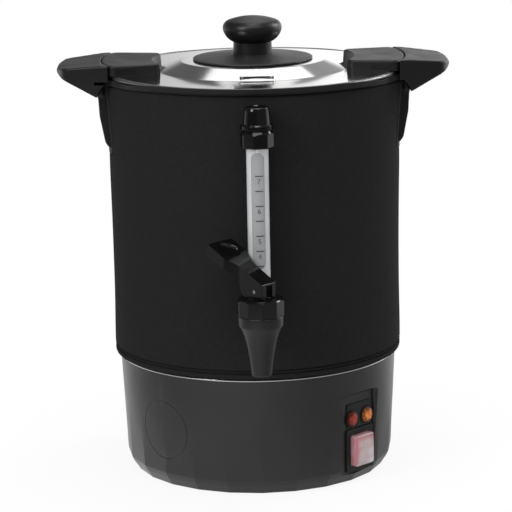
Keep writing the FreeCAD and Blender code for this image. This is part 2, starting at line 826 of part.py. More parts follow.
def make_trim_ring():
    ring = turned("trim_ring_turned", [
        ("trim_inner_radius", "base_top_height"),
        ("base_top_radius + trim_overhang", "base_top_height"),
        ("base_top_radius + trim_overhang", "base_top_height + trim_thickness"),
        ("trim_inner_radius + trim_thickness", "base_top_height + trim_thickness"),
        ("trim_inner_radius + trim_thickness", "tank_floor_height"),
        ("trim_inner_radius", "tank_floor_height"),
    ])
    return node(ring, "base_trim_ring")


# The bottom plate, its feet and its screws.
def make_floor():
    plate = place(cylinder("floor_disc", "floor_radius", "floor_thickness"), z="floor_bottom")
    holes = []
    for index, angle in enumerate(around(4)):
        hole = cylinder("floor_screw_hole_%d" % index, "floor_screw_radius + screw_clearance",
                        "floor_thickness + 2")
        holes.append(on_circle(hole, "boss_circle_radius", angle, "floor_bottom - 1"))
    for index, angle in enumerate(around(4, 45.0)):
        hole = cylinder("foot_hole_%d" % index, "foot_neck_radius + screw_clearance", "floor_thickness + 2")
        holes.append(on_circle(hole, "foot_circle_radius", angle, "floor_bottom - 1"))
    for index in range(int(number("vent_count"))):
        slot = box("vent_%d" % index, "vent_length", "vent_width", "floor_thickness + 2")
        text = ("placement(vector(0; 0; 0); rotation(vector(0; 0; 1); (%d + 0.5) * 360 / vent_count))"
                " * placement(vector(vent_circle_radius - vent_length / 2; -vent_width / 2;"
                " floor_bottom - 1); %s)")
        bind(slot, "Placement", text % (index, UP))
        holes.append(slot)
    access = cylinder("reset_access", "reset_access_radius", "floor_thickness + 2")
    holes.append(place(access, x="cutout_offset", z="floor_bottom - 1"))
    return node(cut("floor_cut", plate, *holes), "base_floor")


def make_feet():
    feet = []
    screws = []
    for index, angle in enumerate(around(4, 45.0)):
        foot = turned("foot_%d" % index, [
            ("0", "0"),
            ("foot_pad_radius - 1", "0"),
            ("foot_pad_radius", "1"),
            ("foot_pad_radius", "floor_bottom"),
            ("foot_neck_radius", "floor_bottom"),
            ("foot_neck_radius", "floor_bottom + floor_thickness"),
            ("foot_head_radius", "floor_bottom + floor_thickness"),
            ("foot_neck_radius", "floor_bottom + floor_thickness + foot_head_height"),
            ("0", "floor_bottom + floor_thickness + foot_head_height"),
        ])
        feet.append(on_circle(foot, "foot_circle_radius", angle, "0"))
    for index, angle in enumerate(around(4)):
        screw = turned("floor_screw_%d" % index, [
            ("0", "floor_bottom - floor_screw_head_height"),
            ("floor_screw_head_radius", "floor_bottom - floor_screw_head_height"),
            ("floor_screw_head_radius", "floor_bottom"),
            ("floor_screw_radius", "floor_bottom"),
            ("floor_screw_radius", "floor_bottom + floor_screw_length"),
            ("0", "floor_bottom + floor_screw_length"),
        ])
        screws.append(on_circle(screw, "boss_circle_radius", angle, "0"))
    node(group("feet_group", feet), "rubber_feet")
    node(group("floor_screws_group", screws), "floor_screws")


# The control panel: lamp plate, two lamps, switch bezel, switch, boot and rocker.
def make_lamps():
    plate = panel_box("lamp_plate_blank", "lamp_plate_width", "lamp_plate_top - lamp_plate_bottom",
                      "lamp_plate_thickness", "lamp_plate_centre", "lamp_plate_bottom", "panel_distance")
    holes = []
    for name, centre in LAMPS:
        holes.append(panel_round(name + "_plate_hole", "lamp_stem_radius + lamp_hole_gap",
                                 "lamp_plate_thickness + 2", centre, "lamp_height", "panel_distance - 1"))
        lens = turned(name + "_turned", [
            ("0", "-lamp_stem_length"),
            ("lamp_stem_radius", "-lamp_stem_length"),
            ("lamp_stem_radius", "lamp_plate_thickness"),
            ("lamp_radius", "lamp_plate_thickness"),
            ("lamp_radius", "lamp_plate_thickness + lamp_bezel_height"),
            ("lamp_radius - lamp_bezel_width", "lamp_plate_thickness + lamp_bezel_height"),
            ("0", "lamp_plate_thickness + lamp_bezel_height + lamp_dome_height",
             "((lamp_radius - lamp_bezel_width) ^ 2 + lamp_dome_height ^ 2) / (2 * lamp_dome_height)"),
        ])
        shift(lens, centre, "lamp_height", "panel_distance", PANEL)
        node(lens, name)
    return node(cut("lamp_plate_cut", plate, *holes), "lamp_plate")


BOOT_BOTTOM = "switch_height - boot_rise / 2"
SWITCH_FACE = "panel_distance + switch_stand_out"
ROCKER_WIDTH = "switch_width - 2 * switch_cavity_wall - 2 * rocker_gap"
ROCKER_RISE = "switch_rise - 2 * switch_cavity_wall - 2 * rocker_gap"
ROCKER_PIVOT = SWITCH_FACE + " - rocker_pivot_depth"


def make_switch():
    bezel = panel_box("bezel_blank", "bezel_width", "bezel_rise", "bezel_thickness", "switch_centre",
                      "switch_height - bezel_rise / 2", "panel_distance")
    window = panel_box("bezel_window", "boot_width + 2 * boot_gap", "boot_rise + 2 * boot_gap",
                       "bezel_thickness + 2", "switch_centre", BOOT_BOTTOM + " - boot_gap",
                       "panel_distance - 1")
    node(cut("bezel_cut", bezel, window), "switch_bezel")

    housing = panel_box("switch_block", "switch_width", "switch_rise", "switch_depth + switch_stand_out",
                        "switch_centre", SWITCH_BOTTOM, "panel_distance - switch_depth")
    cavity = panel_box("switch_cavity", "switch_width - 2 * switch_cavity_wall",
                       "switch_rise - 2 * switch_cavity_wall", "switch_cavity_depth + 1", "switch_centre",
                       SWITCH_BOTTOM + " + switch_cavity_wall", SWITCH_FACE + " - switch_cavity_depth")
    tabs = []
    for index, (across, up) in enumerate(((-0.5, 0.5), (0.5, 0.5), (-0.5, -0.5), (0.5, -0.5))):
        tabs.append(panel_box("switch_tab_%d" % index, "tab_width", "tab_thickness", "tab_length + 1",
                              "switch_centre + %g * tab_spacing" % across,
                              "switch_height + %g * tab_spacing" % up,
                              "panel_distance - switch_depth - tab_length"))
    bearings = panel_round_across("switch_trunnion_hole", "trunnion_radius + thread_gap", "switch_width + 2")
    shell = cut("switch_shell", housing, cavity, bearings)
    node(fuse("switch_body_fused", shell, *tabs), "switch_body")

    outside = panel_box("boot_outside", "boot_width", "boot_rise", "boot_stand_out", "switch_centre",
                        BOOT_BOTTOM, "panel_distance")
    inside = panel_box("boot_inside", "boot_width - 2 * boot_wall", "boot_rise - 2 * boot_wall",
                       "boot_stand_out - boot_wall + 1", "switch_centre", BOOT_BOTTOM + " + boot_wall",
                       "panel_distance - 1")
    node(cut("boot_cut", outside, inside), "switch_boot")


def panel_round_across(name, radius, length):
    """A cylinder across the switch, along the rocker's pivot."""
    piece = cylinder(name, radius, length)
    text = ("placement(vector(0; 0; 0); %s) * placement(vector(switch_centre - (%s) / 2; switch_height; %s);"
            " rotation(vector(0; 1; 0); 90))")
    bind(piece, "Placement", text % (PANEL, length, ROCKER_PIVOT))
    return piece


def make_rocker():
    """The rocker lies with its upper half pressed in, and its face is a shallow V."""
    body = padded("rocker_section", "XZ_Plane", [
        ("-rocker_thickness * 0.35", "-(%s) / 2" % ROCKER_RISE),
        ("rocker_thickness * 0.65", "-(%s) / 2" % ROCKER_RISE),
        ("rocker_thickness * 0.65 - rocker_dish", "0"),
        ("rocker_thickness * 0.65", "(%s) / 2" % ROCKER_RISE),
        ("-rocker_thickness * 0.35", "(%s) / 2" % ROCKER_RISE),
        ("-rocker_thickness * 0.7", "0"),
    ], ROCKER_WIDTH, both_ways=True)
    # local +X points out of the panel, local +Y across it and local +Z up it
    text = ("placement(vector(0; 0; 0); %s) * placement(vector(switch_centre; switch_height; %s);"
            " rotation(vector(1; 0; 0); -rocker_tilt) * rotation(vector(0; 1; 0); -90)"
            " * rotation(vector(1; 0; 0); -90))")
    bind(body, "Placement", text % (PANEL, ROCKER_PIVOT))
    pins = panel_round_across("rocker_pins", "trunnion_radius", "switch_width - 0.6")
    return node(fuse("rocker_fused", body, pins), "rocker")


def make_inlet():
    flange = panel_box("inlet_flange", "inlet_flange_width", "inlet_flange_rise", "inlet_flange_thickness",
                       "0", "inlet_height - inlet_flange_rise / 2", "inlet_distance", BACK)
    block = panel_box("inlet_block", "inlet_body_width", "inlet_body_rise", "inlet_body_depth", "0",
                      "inlet_height - inlet_body_rise / 2", "inlet_distance - inlet_body_depth", BACK)
    socket = panel_box("inlet_socket", "inlet_socket_width", "inlet_socket_rise", "inlet_socket_depth + 5",
                       "0", "inlet_height - inlet_socket_rise / 2",
                       "inlet_distance + inlet_flange_thickness - inlet_socket_depth", BACK)
    pins = []
    holes = [socket]
    places = (("0", "3"), ("-inlet_pin_spacing", "-1"), ("inlet_pin_spacing", "-1"))
    for index, (across, up) in enumerate(places):
        for gap, keep in (("0", pins), ("0.05", holes)):
            keep.append(panel_box("inlet_pin_%d_%s" % (index, "hole" if keep is holes else "solid"),
                                  "inlet_pin_thickness + 2 * " + gap, "inlet_pin_width + 2 * " + gap,
                                  "inlet_pin_length", across,
                                  "inlet_height + %s - inlet_pin_width / 2 - %s" % (up, gap),
                                  "inlet_distance - inlet_body_depth - 5", BACK))
    node(cut("inlet_cut", fuse("inlet_solid", flange, block), *holes), "power_inlet")
    node(group("inlet_pins_group", pins), "inlet_pins")


# Heater, thermostat, cut-out and terminal block under the tank.
ELEMENT_BOTTOM = "tank_floor_height - element_thickness"
CUTOUT_BOTTOM = ELEMENT_BOTTOM + " - cutout_height"


def make_heater():
    plate = cylinder("element_disc", "element_radius", "element_thickness")
    node(place(plate, z=ELEMENT_BOTTOM), "element_plate")
    ring = doc.addObject("Part::Torus", "heater_ring")
    bind(ring, "Radius1", "heater_ring_radius")
    bind(ring, "Radius2", "heater_tube_radius")
    ring.Angle3 = 320
    low = ELEMENT_BOTTOM + " - heater_tube_radius"
    place(ring, z=low, turn="rotation(vector(0; 0; 1); 110)")
    pins = []
    for index, angle in enumerate(("112", "68")):
        pin = cylinder("heater_pin_%d" % index, "heater_pin_radius", "heater_pin_length")
        pins.append(on_circle(pin, "heater_ring_radius", angle, low + " - heater_pin_length"))
    node(fuse("heater_fused", ring, *pins), "ring_heater")

    body = place(cylinder("thermostat_can", "thermostat_radius", "thermostat_height"),
                 x="-cutout_offset", z=ELEMENT_BOTTOM + " - thermostat_height")
    tabs = []
    for index, across in enumerate((-0.5, 0.5)):
        tab = box("thermostat_tab_%d" % index, "tab_thickness", "tab_width", "tab_length")
        tabs.append(place(tab, x="-cutout_offset + %g * tab_spacing" % across, y="-tab_width / 2",
                          z=ELEMENT_BOTTOM + " - thermostat_height - tab_length + 1"))
    node(fuse("thermostat_fused", body, *tabs), "thermostat")

    can = place(cylinder("cutout_can", "cutout_radius", "cutout_height"), x="cutout_offset", z=CUTOUT_BOTTOM)
    bore = place(cylinder("cutout_bore", "reset_radius + pin_gap", "reset_length - reset_stand_out"
                          " + reset_stroke + 0.3"), x="cutout_offset", z=CUTOUT_BOTTOM)
    node(cut("cutout_cut", can, bore), "thermal_cutout")
    button = place(cylinder("reset_pin", "reset_radius", "reset_length"), x="cutout_offset",
                   z=CUTOUT_BOTTOM + " - reset_stand_out")
    node(button, "reset_button")


def make_terminal_block():
    base = box("terminal_base", "terminal_length", "terminal_depth", "terminal_rise")
    place(base, x="-terminal_length / 2", y="terminal_offset - terminal_depth / 2",
          z="floor_bottom + floor_thickness")
    holes = []
    for index in range(3):
        hole = cylinder("terminal_hole_%d" % index, "2.2", "terminal_depth + 2")
        across = "(%d - 1) * terminal_length / 3.4" % index
        holes.append(place(hole, x=across, y="terminal_offset + terminal_depth / 2 + 1",
                           z="floor_bottom + floor_thickness + 6", turn=FRONT))
        driver = cylinder("terminal_screw_hole_%d" % index, "1.8", "terminal_rise")
        holes.append(place(driver, x=across, y="terminal_offset",
                           z="floor_bottom + floor_thickness + 8"))
    return node(cut("terminal_cut", base, *holes), "terminal_block")


# The jacket: a thick sleeve with a stitched seam near each edge, a slot round each handle's leg
# and a hole for the gauge shank.
JACKET_INSIDE = "tank_bore_radius + tank_wall + jacket_gap"
JACKET_OUTSIDE = JACKET_INSIDE + " + jacket_thickness"
JACKET_BOTTOM = "base_top_height + trim_thickness + jacket_bottom_gap"
JACKET_TOP = "rim_height - 2 * rim_bead_radius - jacket_top_gap"


def make_jacket():
    sleeve = turned("jacket_sleeve", [
        (JACKET_INSIDE, JACKET_BOTTOM),
        (JACKET_OUTSIDE + " - jacket_edge_radius", JACKET_BOTTOM),
        (JACKET_OUTSIDE, JACKET_BOTTOM + " + jacket_edge_radius", "jacket_edge_radius"),
        (JACKET_OUTSIDE, JACKET_BOTTOM + " + hem_width - seam_width / 2"),
        (JACKET_OUTSIDE + " - seam_depth", JACKET_BOTTOM + " + hem_width"),
        (JACKET_OUTSIDE, JACKET_BOTTOM + " + hem_width + seam_width / 2"),
        (JACKET_OUTSIDE, JACKET_TOP + " - hem_width - seam_width / 2"),
        (JACKET_OUTSIDE + " - seam_depth", JACKET_TOP + " - hem_width"),
        (JACKET_OUTSIDE, JACKET_TOP + " - hem_width + seam_width / 2"),
        (JACKET_OUTSIDE, JACKET_TOP + " - jacket_edge_radius"),
        (JACKET_OUTSIDE + " - jacket_edge_radius", JACKET_TOP, "jacket_edge_radius"),
        (JACKET_INSIDE, JACKET_TOP),
    ])
    slots = []
    for name, turn in (("right", UP), ("left", LEFT)):
        slot = box("jacket_slot_" + name, "jacket_thickness + 10", "2 * leg_half + 2 * jacket_slot_gap",
                   "rim_height - leg_bottom + jacket_slot_gap")
        slots.append(shift(slot, "tank_bore_radius - 6", "-leg_half - jacket_slot_gap",
                           "leg_bottom - jacket_slot_gap", turn))
    hole = cylinder("jacket_shank_hole", "shank_flange_radius + jacket_shank_gap", "tank_bore_radius + 20")
    place(hole, z="shank_height", turn=FRONT)
    return node(cut("jacket_cut", sleeve, hole, *slots), "jacket")


# The handles: a tapered grip that carries on the line of the lid blocks, on a leg that is
# screwed to a plate on the tank. A slot in one side of each takes the lid's lock.
ROOT_X = "sqrt(handle_root_radius ^ 2 - handle_root_half ^ 2)"
LEG_TOP = "rim_height - 2 * rim_bead_radius - leg_top_gap"


def make_handle(side, turn):
    plan = padded(side + "_handle_plan", "XY_Plane", [
        (ROOT_X, "-handle_root_half", "-handle_root_radius"),
        ("handle_shoulder_reach", "-handle_tip_half"),
        ("handle_reach", "0", "handle_nose_round"),
        ("handle_shoulder_reach", "handle_tip_half", "handle_nose_round"),
        (ROOT_X, "handle_root_half"),
        ("handle_root_radius", "0", "-handle_root_radius"),
    ], "2 * handle_top")
    rounded(plan, side + "_handle_corners", "handle_tip_corner",
            lambda spot, edge: abs(abs(spot.y) - number("handle_tip_half")) < 0.5
            and abs(spot.x - number("handle_shoulder_reach")) < 0.5
            and 0 < spot.z < 2 * number("handle_top"))
    profile = padded(side + "_handle_side", "XZ_Plane", [
        ("tank_bore_radius", "handle_top"),
        ("tank_bore_radius", "handle_heel_height"),
        ("handle_heel_reach", "handle_heel_height"),
        ("handle_under_reach", "handle_nose_height - handle_nose_drop"),
        ("handle_reach", "handle_nose_height", "handle_nose_drop * 1.15"),
        ("handle_shoulder_reach", "handle_shoulder_top", "handle_nose_drop * 2.4"),
        ("handle_root_radius", "handle_top"),
    ], "4 * handle_root_half", both_ways=True)
    grip = common(side + "_handle_grip", plan, profile)
    leg = padded(side + "_handle_leg", "XZ_Plane", [
        ("leg_inner_radius", LEG_TOP),
        ("leg_inner_radius", "leg_bottom"),
        ("leg_bottom_reach", "leg_bottom"),
        ("leg_toe_reach", "leg_toe_height", "leg_toe_round"),
        ("leg_belly_reach", "leg_belly_height"),
        ("handle_heel_reach + 0.4", "handle_heel_height"),
        ("leg_root_reach", "handle_heel_height + (leg_root_reach - handle_heel_reach) *"
         " (handle_nose_height - handle_nose_drop - handle_heel_height) /"
         " (handle_under_reach - handle_heel_reach)"),
        ("leg_root_reach", LEG_TOP),
    ], "2 * leg_half", both_ways=True)
    notch = box(side + "_handle_notch", "notch_outer_reach - notch_inner_reach", "notch_depth + 10",
                "notch_rise")
    place(notch, x="notch_inner_reach", y="handle_root_half - notch_depth", z="notch_height")
    holes = [notch]
    for index, height in enumerate(("handle_screw_low", "handle_screw_high")):
        hole = cylinder("%s_handle_screw_hole_%d" % (side, index), "handle_screw_radius + screw_clearance",
                        "handle_screw_length")
        holes.append(place(hole, x="tank_bore_radius + tank_wall", z=height,
                           turn="rotation(vector(0; 1; 0); 90)"))
    body = cut(side + "_handle_cut", fuse(side + "_handle_fused", grip, leg), *holes)
    place(body, turn=turn)
    return node(body, side + "_handle")


def make_handle_plates():
    plates = []
    screws = []
    for side, turn in (("right", UP), ("left", LEFT)):
        blank = box(side + "_plate_blank", "handle_plate_thickness + 1", "2 * handle_plate_half",
                    "handle_plate_top - handle_plate_bottom")
        shift(blank, TANK_OUTSIDE + " - 1", "-handle_plate_half", "handle_plate_bottom", turn)
        inside = cylinder(side + "_plate_inside", TANK_OUTSIDE + " + washer_curve_gap", "rim_height")
        flat = cut(side + "_plate_curved", blank, inside)
        holes = []
        for index, height in enumerate(("handle_screw_low", "handle_screw_high")):
            screw = cylinder("%s_screw_%d" % (side, index), "handle_screw_radius", "handle_screw_length")
            hole = cylinder("%s_plate_hole_%d" % (side, index), "handle_screw_radius + thread_gap", "20")
            for piece, start in ((screw, TANK_OUTSIDE), (hole, "tank_bore_radius - 4")):
                text = "placement(vector(0; 0; 0); %s) * placement(vector(%s; 0; %s); %s)"
                bind(piece, "Placement", text % (turn, start, height, "rotation(vector(0; 1; 0); 90)"))
            screws.append(screw)
            holes.append(hole)
        plates.append(cut(side + "_plate_drilled", flat, *holes))
    node(group("handle_plates_group", plates), "handle_plates")
    node(group("handle_screws_group", screws), "handle_screws")


# The lid: seal, pan with louvre, lock blocks, disc and knob.
FLANGE_UNDER = LIP_TOP + " + seal_thickness"
FLANGE_TOP = FLANGE_UNDER + " + lid_wall"
LID_TOP = FLANGE_TOP + " + lid_step"
SKIRT_OUTSIDE = "tank_bore_radius - lid_skirt_gap"


def make_seal():
    return node(tube("lid_seal_ring", "seal_outer_radius", "tank_bore_radius + seal_overhang",
                     "seal_thickness", z=LIP_TOP), "lid_seal")


def block_screw_places():
    return [(side * 1.0, half * 1.0) for side in (1, -1) for half in (1, -1)]


def make_lid():
    pan = turned("lid_turned", [
        ("0", LID_TOP),
        ("0", LID_TOP + " - lid_wall"),
        ("lid_top_radius - lid_wall / 2", LID_TOP + " - lid_wall"),
        ("lid_cone_radius - lid_wall / 2", FLANGE_UNDER),
        (SKIRT_OUTSIDE + " - lid_wall", FLANGE_UNDER),
        (SKIRT_OUTSIDE + " - lid_wall", FLANGE_UNDER + " - lid_skirt_depth"),
        (SKIRT_OUTSIDE, FLANGE_UNDER + " - lid_skirt_depth"),
        (SKIRT_OUTSIDE, FLANGE_UNDER),
        ("lid_radius", FLANGE_UNDER),
        ("lid_radius", FLANGE_TOP),
        ("lid_cone_radius", FLANGE_TOP),
        ("lid_top_radius", LID_TOP),
    ])
    # the louvre is a wedge on the cone, widest and highest at its slit, pointing up to the axis
    slope = "atan(lid_step / (lid_cone_radius - lid_top_radius))"
    wedge = doc.addObject("Part::Wedge", "louvre_wedge")
    for prop, text in (("Xmin", "-louvre_half_width"), ("Xmax", "louvre_half_width"), ("Ymin", "0"),
                       ("Ymax", "louvre_length"), ("Zmin", "-lid_wall"), ("Zmax", "louvre_rise"),
                       ("X2min", "-0.8"), ("X2max", "0.8"), ("Z2min", "-lid_wall"), ("Z2max", "0.1")):
        bind(wedge, prop, text)
    slit = box("louvre_slit_box", "2 * (louvre_half_width - louvre_margin)", "louvre_slit_depth + 2",
               "louvre_slit + lid_wall + 0.4")
    hollow = box("louvre_vent_box", "louvre_half_width * 0.9", "louvre_slit_depth", "4 * lid_wall")
    height = LID_TOP + " - lid_step * (louvre_radius - lid_top_radius) / (lid_cone_radius - lid_top_radius)"
    for piece, across, along, up in (
            (wedge, "0", "0", "0"),
            (slit, "-(louvre_half_width - louvre_margin)", "-2", "0.1"),
            (hollow, "-louvre_half_width * 0.45", "0.4", "-3 * lid_wall")):
        text = ("placement(vector(0; -louvre_radius; %s); rotation(vector(1; 0; 0); %s))"
                " * placement(vector(%s; %s; %s); %s)")
        bind(piece, "Placement", text % (height, slope, across, along, up, UP))
    holes = [slit, hollow, place(cylinder("lid_screw_hole", "knob_screw_radius + screw_clearance", "20"),
                                 z=LID_TOP + " - 10")]
    for index, (side, half) in enumerate(block_screw_places()):
        hole = cylinder("lid_block_hole_%d" % index, "block_screw_radius + screw_clearance", "10")
        holes.append(place(hole, x="%g * block_screw_circle" % side, y="%g * block_screw_half" % half,
                           z=FLANGE_UNDER + " - 5"))
    return node(cut("lid_cut", fuse("lid_fused", pan, wedge), *holes), "lid_pan")


def make_block(side, turn):
    inner_x = "sqrt(block_inner_radius ^ 2 - block_inner_half ^ 2)"
    outer_x = "sqrt(block_outer_radius ^ 2 - block_outer_half ^ 2)"
    solid = padded(side + "_block_solid", "XY_Plane", [
        (inner_x, "-block_inner_half", "-block_inner_radius"),
        (outer_x, "-block_outer_half"),
        (outer_x, "block_outer_half", "block_outer_radius"),
        (inner_x, "block_inner_half"),
    ], "block_height")
    rounded(solid, side + "_block_corners", "block_corner_radius",
            lambda spot, edge: abs(edge.Vertexes[0].Z - edge.Vertexes[-1].Z) > 1)
    rounded(solid, side + "_block_edges", "block_edge_radius",
            lambda spot, edge: spot.z > number("block_height") - 0.01)
    place(solid, z=FLANGE_TOP)
    relief = tube(side + "_block_relief", "block_outer_radius + 5", LIP_EDGE, "block_rim_gap + 1",
                  z=FLANGE_TOP + " - 1")
    holes = [relief]
    for index, half in enumerate((1, -1)):
        hole = cylinder("%s_block_hole_%d" % (side, index), "block_screw_radius + thread_gap",
                        "block_screw_length")
        holes.append(place(hole, x="block_screw_circle", y="%d * block_screw_half" % half,
                           z=FLANGE_UNDER))
    block = cut(side + "_block_cut", solid, *holes)
    place(block, turn=turn)
    return node(block, side + "_lid_block")


def make_block_screws():
    screws = []
    for index, (side, half) in enumerate(block_screw_places()):
        screw = turned("block_screw_%d" % index, [
            ("0", "-block_screw_head_height"),
            ("block_screw_head_radius", "-block_screw_head_height"),
            ("block_screw_head_radius", "0"),
            ("block_screw_radius", "0"),
            ("block_screw_radius", "block_screw_length - 0.4"),
            ("0", "block_screw_length - 0.4"),
        ])
        screws.append(place(screw, x="%g * block_screw_circle" % side, y="%g * block_screw_half" % half,
                            z=FLANGE_UNDER))
    return node(group("block_screws_group", screws), "lid_block_screws")


def make_knob():
    disc = turned("knob_disc_turned", [
        ("knob_screw_radius + screw_clearance", "0"),
        ("knob_disc_radius", "0"),
        ("knob_disc_radius", "knob_disc_edge"),
        ("knob_disc_hub_radius", "knob_disc_rise"),
        ("knob_screw_radius + screw_clearance", "knob_disc_rise"),
    ])
    node(place(disc, z=LID_TOP), "knob_disc")
    knob = turned("knob_turned", [
        ("knob_screw_radius + thread_gap", "0"),
        ("knob_post_radius", "0"),
        ("knob_post_top_radius", "knob_post_height"),
        ("knob_radius", "knob_belly_height", "knob_under_round"),
        ("knob_shoulder_radius", "knob_shoulder_height", "knob_side_round"),
        ("0", "knob_height", "(knob_shoulder_radius ^ 2 + (knob_height - knob_shoulder_height) ^ 2)"
         " / (2 * (knob_height - knob_shoulder_height))"),
        ("0", "knob_screw_length - knob_disc_rise + 1"),
        ("knob_screw_radius + thread_gap", "knob_screw_length - knob_disc_rise + 1"),
    ])
    node(place(knob, z=LID_TOP + " + knob_disc_rise"), "knob")
    screw = turned("knob_screw_turned", [
        ("0", "-knob_screw_head_height"),
        ("knob_screw_head_radius", "-knob_screw_head_height"),
        ("knob_screw_head_radius", "0"),
        ("knob_screw_radius", "0"),
        ("knob_screw_radius", "knob_screw_length"),
        ("0", "knob_screw_length"),
    ])
    node(place(screw, z=LID_TOP + " - lid_wall"), "knob_screw")


# The gauge shank through the tank wall, with its washers and nut, and the gauge standing on it.
def along_shank(thing, start):
    return place(thing, y="-(%s)" % start, z="shank_height", turn=FRONT)


def make_shank():
    parts = []
    for name, radius, start, end in (
            ("shank_thread", "shank_radius", "shank_inner_end", "shank_outer_end"),
            ("shank_flange", "shank_flange_radius", TANK_OUTSIDE + " + washer_thickness", "shank_flange_end"),
            ("shank_barrel", "shank_barrel_radius", TANK_OUTSIDE + " + washer_thickness",
             "shank_barrel_end")):
        parts.append(along_shank(cylinder(name, radius, "%s - (%s)" % (end, start)), start))
    boss = cylinder("shank_boss", "boss_outer_radius", "boss_top - shank_height")
    parts.append(place(boss, y="-gauge_distance", z="shank_height"))
    bore = along_shank(cylinder("shank_bore", "shank_bore_radius", "shank_outer_end - shank_inner_end + 2"),
                       "shank_inner_end - 1")
    well = place(cylinder("shank_well", "tube_radius - tube_wall", "boss_top - shank_height"),
                 y="-gauge_distance", z="shank_height")
    seat = place(cylinder("shank_tube_seat", "tube_radius + tube_gap", "boss_top - tube_bottom + 1"),
                 y="-gauge_distance", z="tube_bottom")
    pocket = place(cylinder("shank_seal_pocket", "tube_seal_radius + tube_gap", "tube_seal_height + 1"),
                   y="-gauge_distance", z="boss_top - tube_seal_height")
    node(cut("shank_cut", fuse("shank_solid", *parts), bore, well, seat, pocket), "gauge_shank")

    outer = along_shank(cylinder("outer_washer_blank", "washer_radius", "washer_thickness + 2"),
                        TANK_OUTSIDE + " - 2")
    bore_out = along_shank(cylinder("outer_washer_bore", "shank_radius + thread_gap", "30"),
                           "tank_bore_radius - 10")
    wall = cylinder("washer_wall", TANK_OUTSIDE + " + washer_curve_gap", "rim_height")
    node(cut("outer_washer_cut", outer, bore_out, wall), "outer_washer")
    inner = along_shank(cylinder("inner_washer_blank", "washer_radius", "washer_thickness + 2"),
                        "tank_bore_radius - washer_thickness")
    inside = cylinder("washer_bore_wall", "tank_bore_radius - washer_curve_gap", "rim_height")
    held = common("inner_washer_curved", inner, inside)
    bore_in = along_shank(cylinder("inner_washer_bore", "shank_radius + thread_gap", "30"),
                          "tank_bore_radius - 15")
    node(cut("inner_washer_cut", held, bore_in), "inner_washer")
    start = "tank_bore_radius - washer_thickness - shank_nut_thickness"
    nut = along_shank(prism("shank_nut_hex", "6", "shank_nut_radius", "shank_nut_thickness"), start)
    hole = along_shank(cylinder("shank_nut_bore", "shank_radius + thread_gap", "shank_nut_thickness + 2"),
                       start + " - 1")
    node(cut("shank_nut_cut", nut, hole), "shank_nut")


def window_cutter(name, gap):
    """A slot with round ends through the front of the shield."""
    half = "(window_width / 2 - %s)" % gap
    middle = box(name + "_middle", "2 * " + half, "shield_radius + 2",
                 "window_top - window_bottom - window_width")
    place(middle, x="-" + half, y="-gauge_distance - shield_radius - 2",
          z="window_bottom + window_width / 2")
    ends = []
    for index, height in enumerate(("window_bottom + window_width / 2", "window_top - window_width / 2")):
        end = cylinder("%s_end_%d" % (name, index), half, "shield_radius + 2")
        ends.append(place(end, y="-gauge_distance", z=height, turn=FRONT))
    return fuse(name, middle, *ends)


def make_gauge():
    axis = {"y": "-gauge_distance"}
    node(tube("gauge_glass", "tube_radius", "tube_radius - tube_wall", "tube_top - tube_bottom",
              z="tube_bottom", **axis), "gauge_tube")
    node(tube("tube_seal_ring", "tube_seal_radius", "tube_radius + tube_gap", "tube_seal_height",
              z="boss_top - tube_seal_height", **axis), "tube_seal")
    skin = tube("shield_skin", "shield_radius", "shield_radius - shield_wall", "shield_top - boss_top",
                z="boss_top", **axis)
    node(cut("shield_cut", skin, window_cutter("shield_window", "0")), "gauge_shield")
    pane = tube("pane_skin", "shield_radius - (shield_wall - window_wall) / 2",
                "shield_radius - (shield_wall + window_wall) / 2", "shield_top - boss_top", z="boss_top",
                **axis)
    node(common("pane_cut", pane, window_cutter("pane_outline", "window_gap")), "gauge_window")

    collar = place(prism("collar_block", "collar_sides", "collar_radius", "collar_top - collar_bottom"),
                   y="-gauge_distance", z="collar_bottom", turn="rotation(vector(0; 0; 1); 35)")
    form = turned("collar_form", [
        ("0", "collar_bottom"),
        ("collar_radius - 0.6", "collar_bottom"),
        ("collar_radius", "collar_bottom + 0.8"),
        ("collar_radius", "collar_top - collar_chamfer"),
        ("collar_radius - collar_chamfer * 0.7", "collar_top"),
        ("0", "collar_top"),
    ])
    place(form, y="-gauge_distance")
    top_bore = place(cylinder("collar_bore", "tube_radius + tube_gap", "40"), y="-gauge_distance",
                     z="collar_bottom - 5")
    socket = place(cylinder("collar_socket", "shield_radius + shield_gap", "shield_top - collar_bottom + 1"),
                   y="-gauge_distance", z="collar_bottom - 1")
    node(cut("collar_cut", common("collar_turned", collar, form), top_bore, socket), "gauge_collar")

    seal = tube("cap_seal_ring", "tube_radius + 2", "tube_radius - tube_wall", "cap_seal_thickness",
                z="collar_top", **axis)
    node(seal, "cap_seal")
    cap = turned("cap_turned", [
        ("tube_radius + 2 + tube_gap", "0"),
        ("cap_skirt_radius", "0"),
        ("cap_skirt_radius", "cap_skirt_height"),
        ("cap_lower_radius", "cap_skirt_height + 0.6"),
        ("cap_upper_radius", "cap_height - cap_round"),
        ("cap_upper_radius - cap_round", "cap_height", "cap_round"),
        ("cap_vent_radius", "cap_height - 0.8"),
        ("cap_vent_radius", "cap_height - cap_wall - 1"),
        ("tube_radius", "cap_height - cap_wall - 1"),
        ("tube_radius", "cap_seal_thickness"),
        ("tube_radius + 2 + tube_gap", "cap_seal_thickness"),
    ])
    node(place(cap, y="-gauge_distance", z="collar_top"), "gauge_cap")


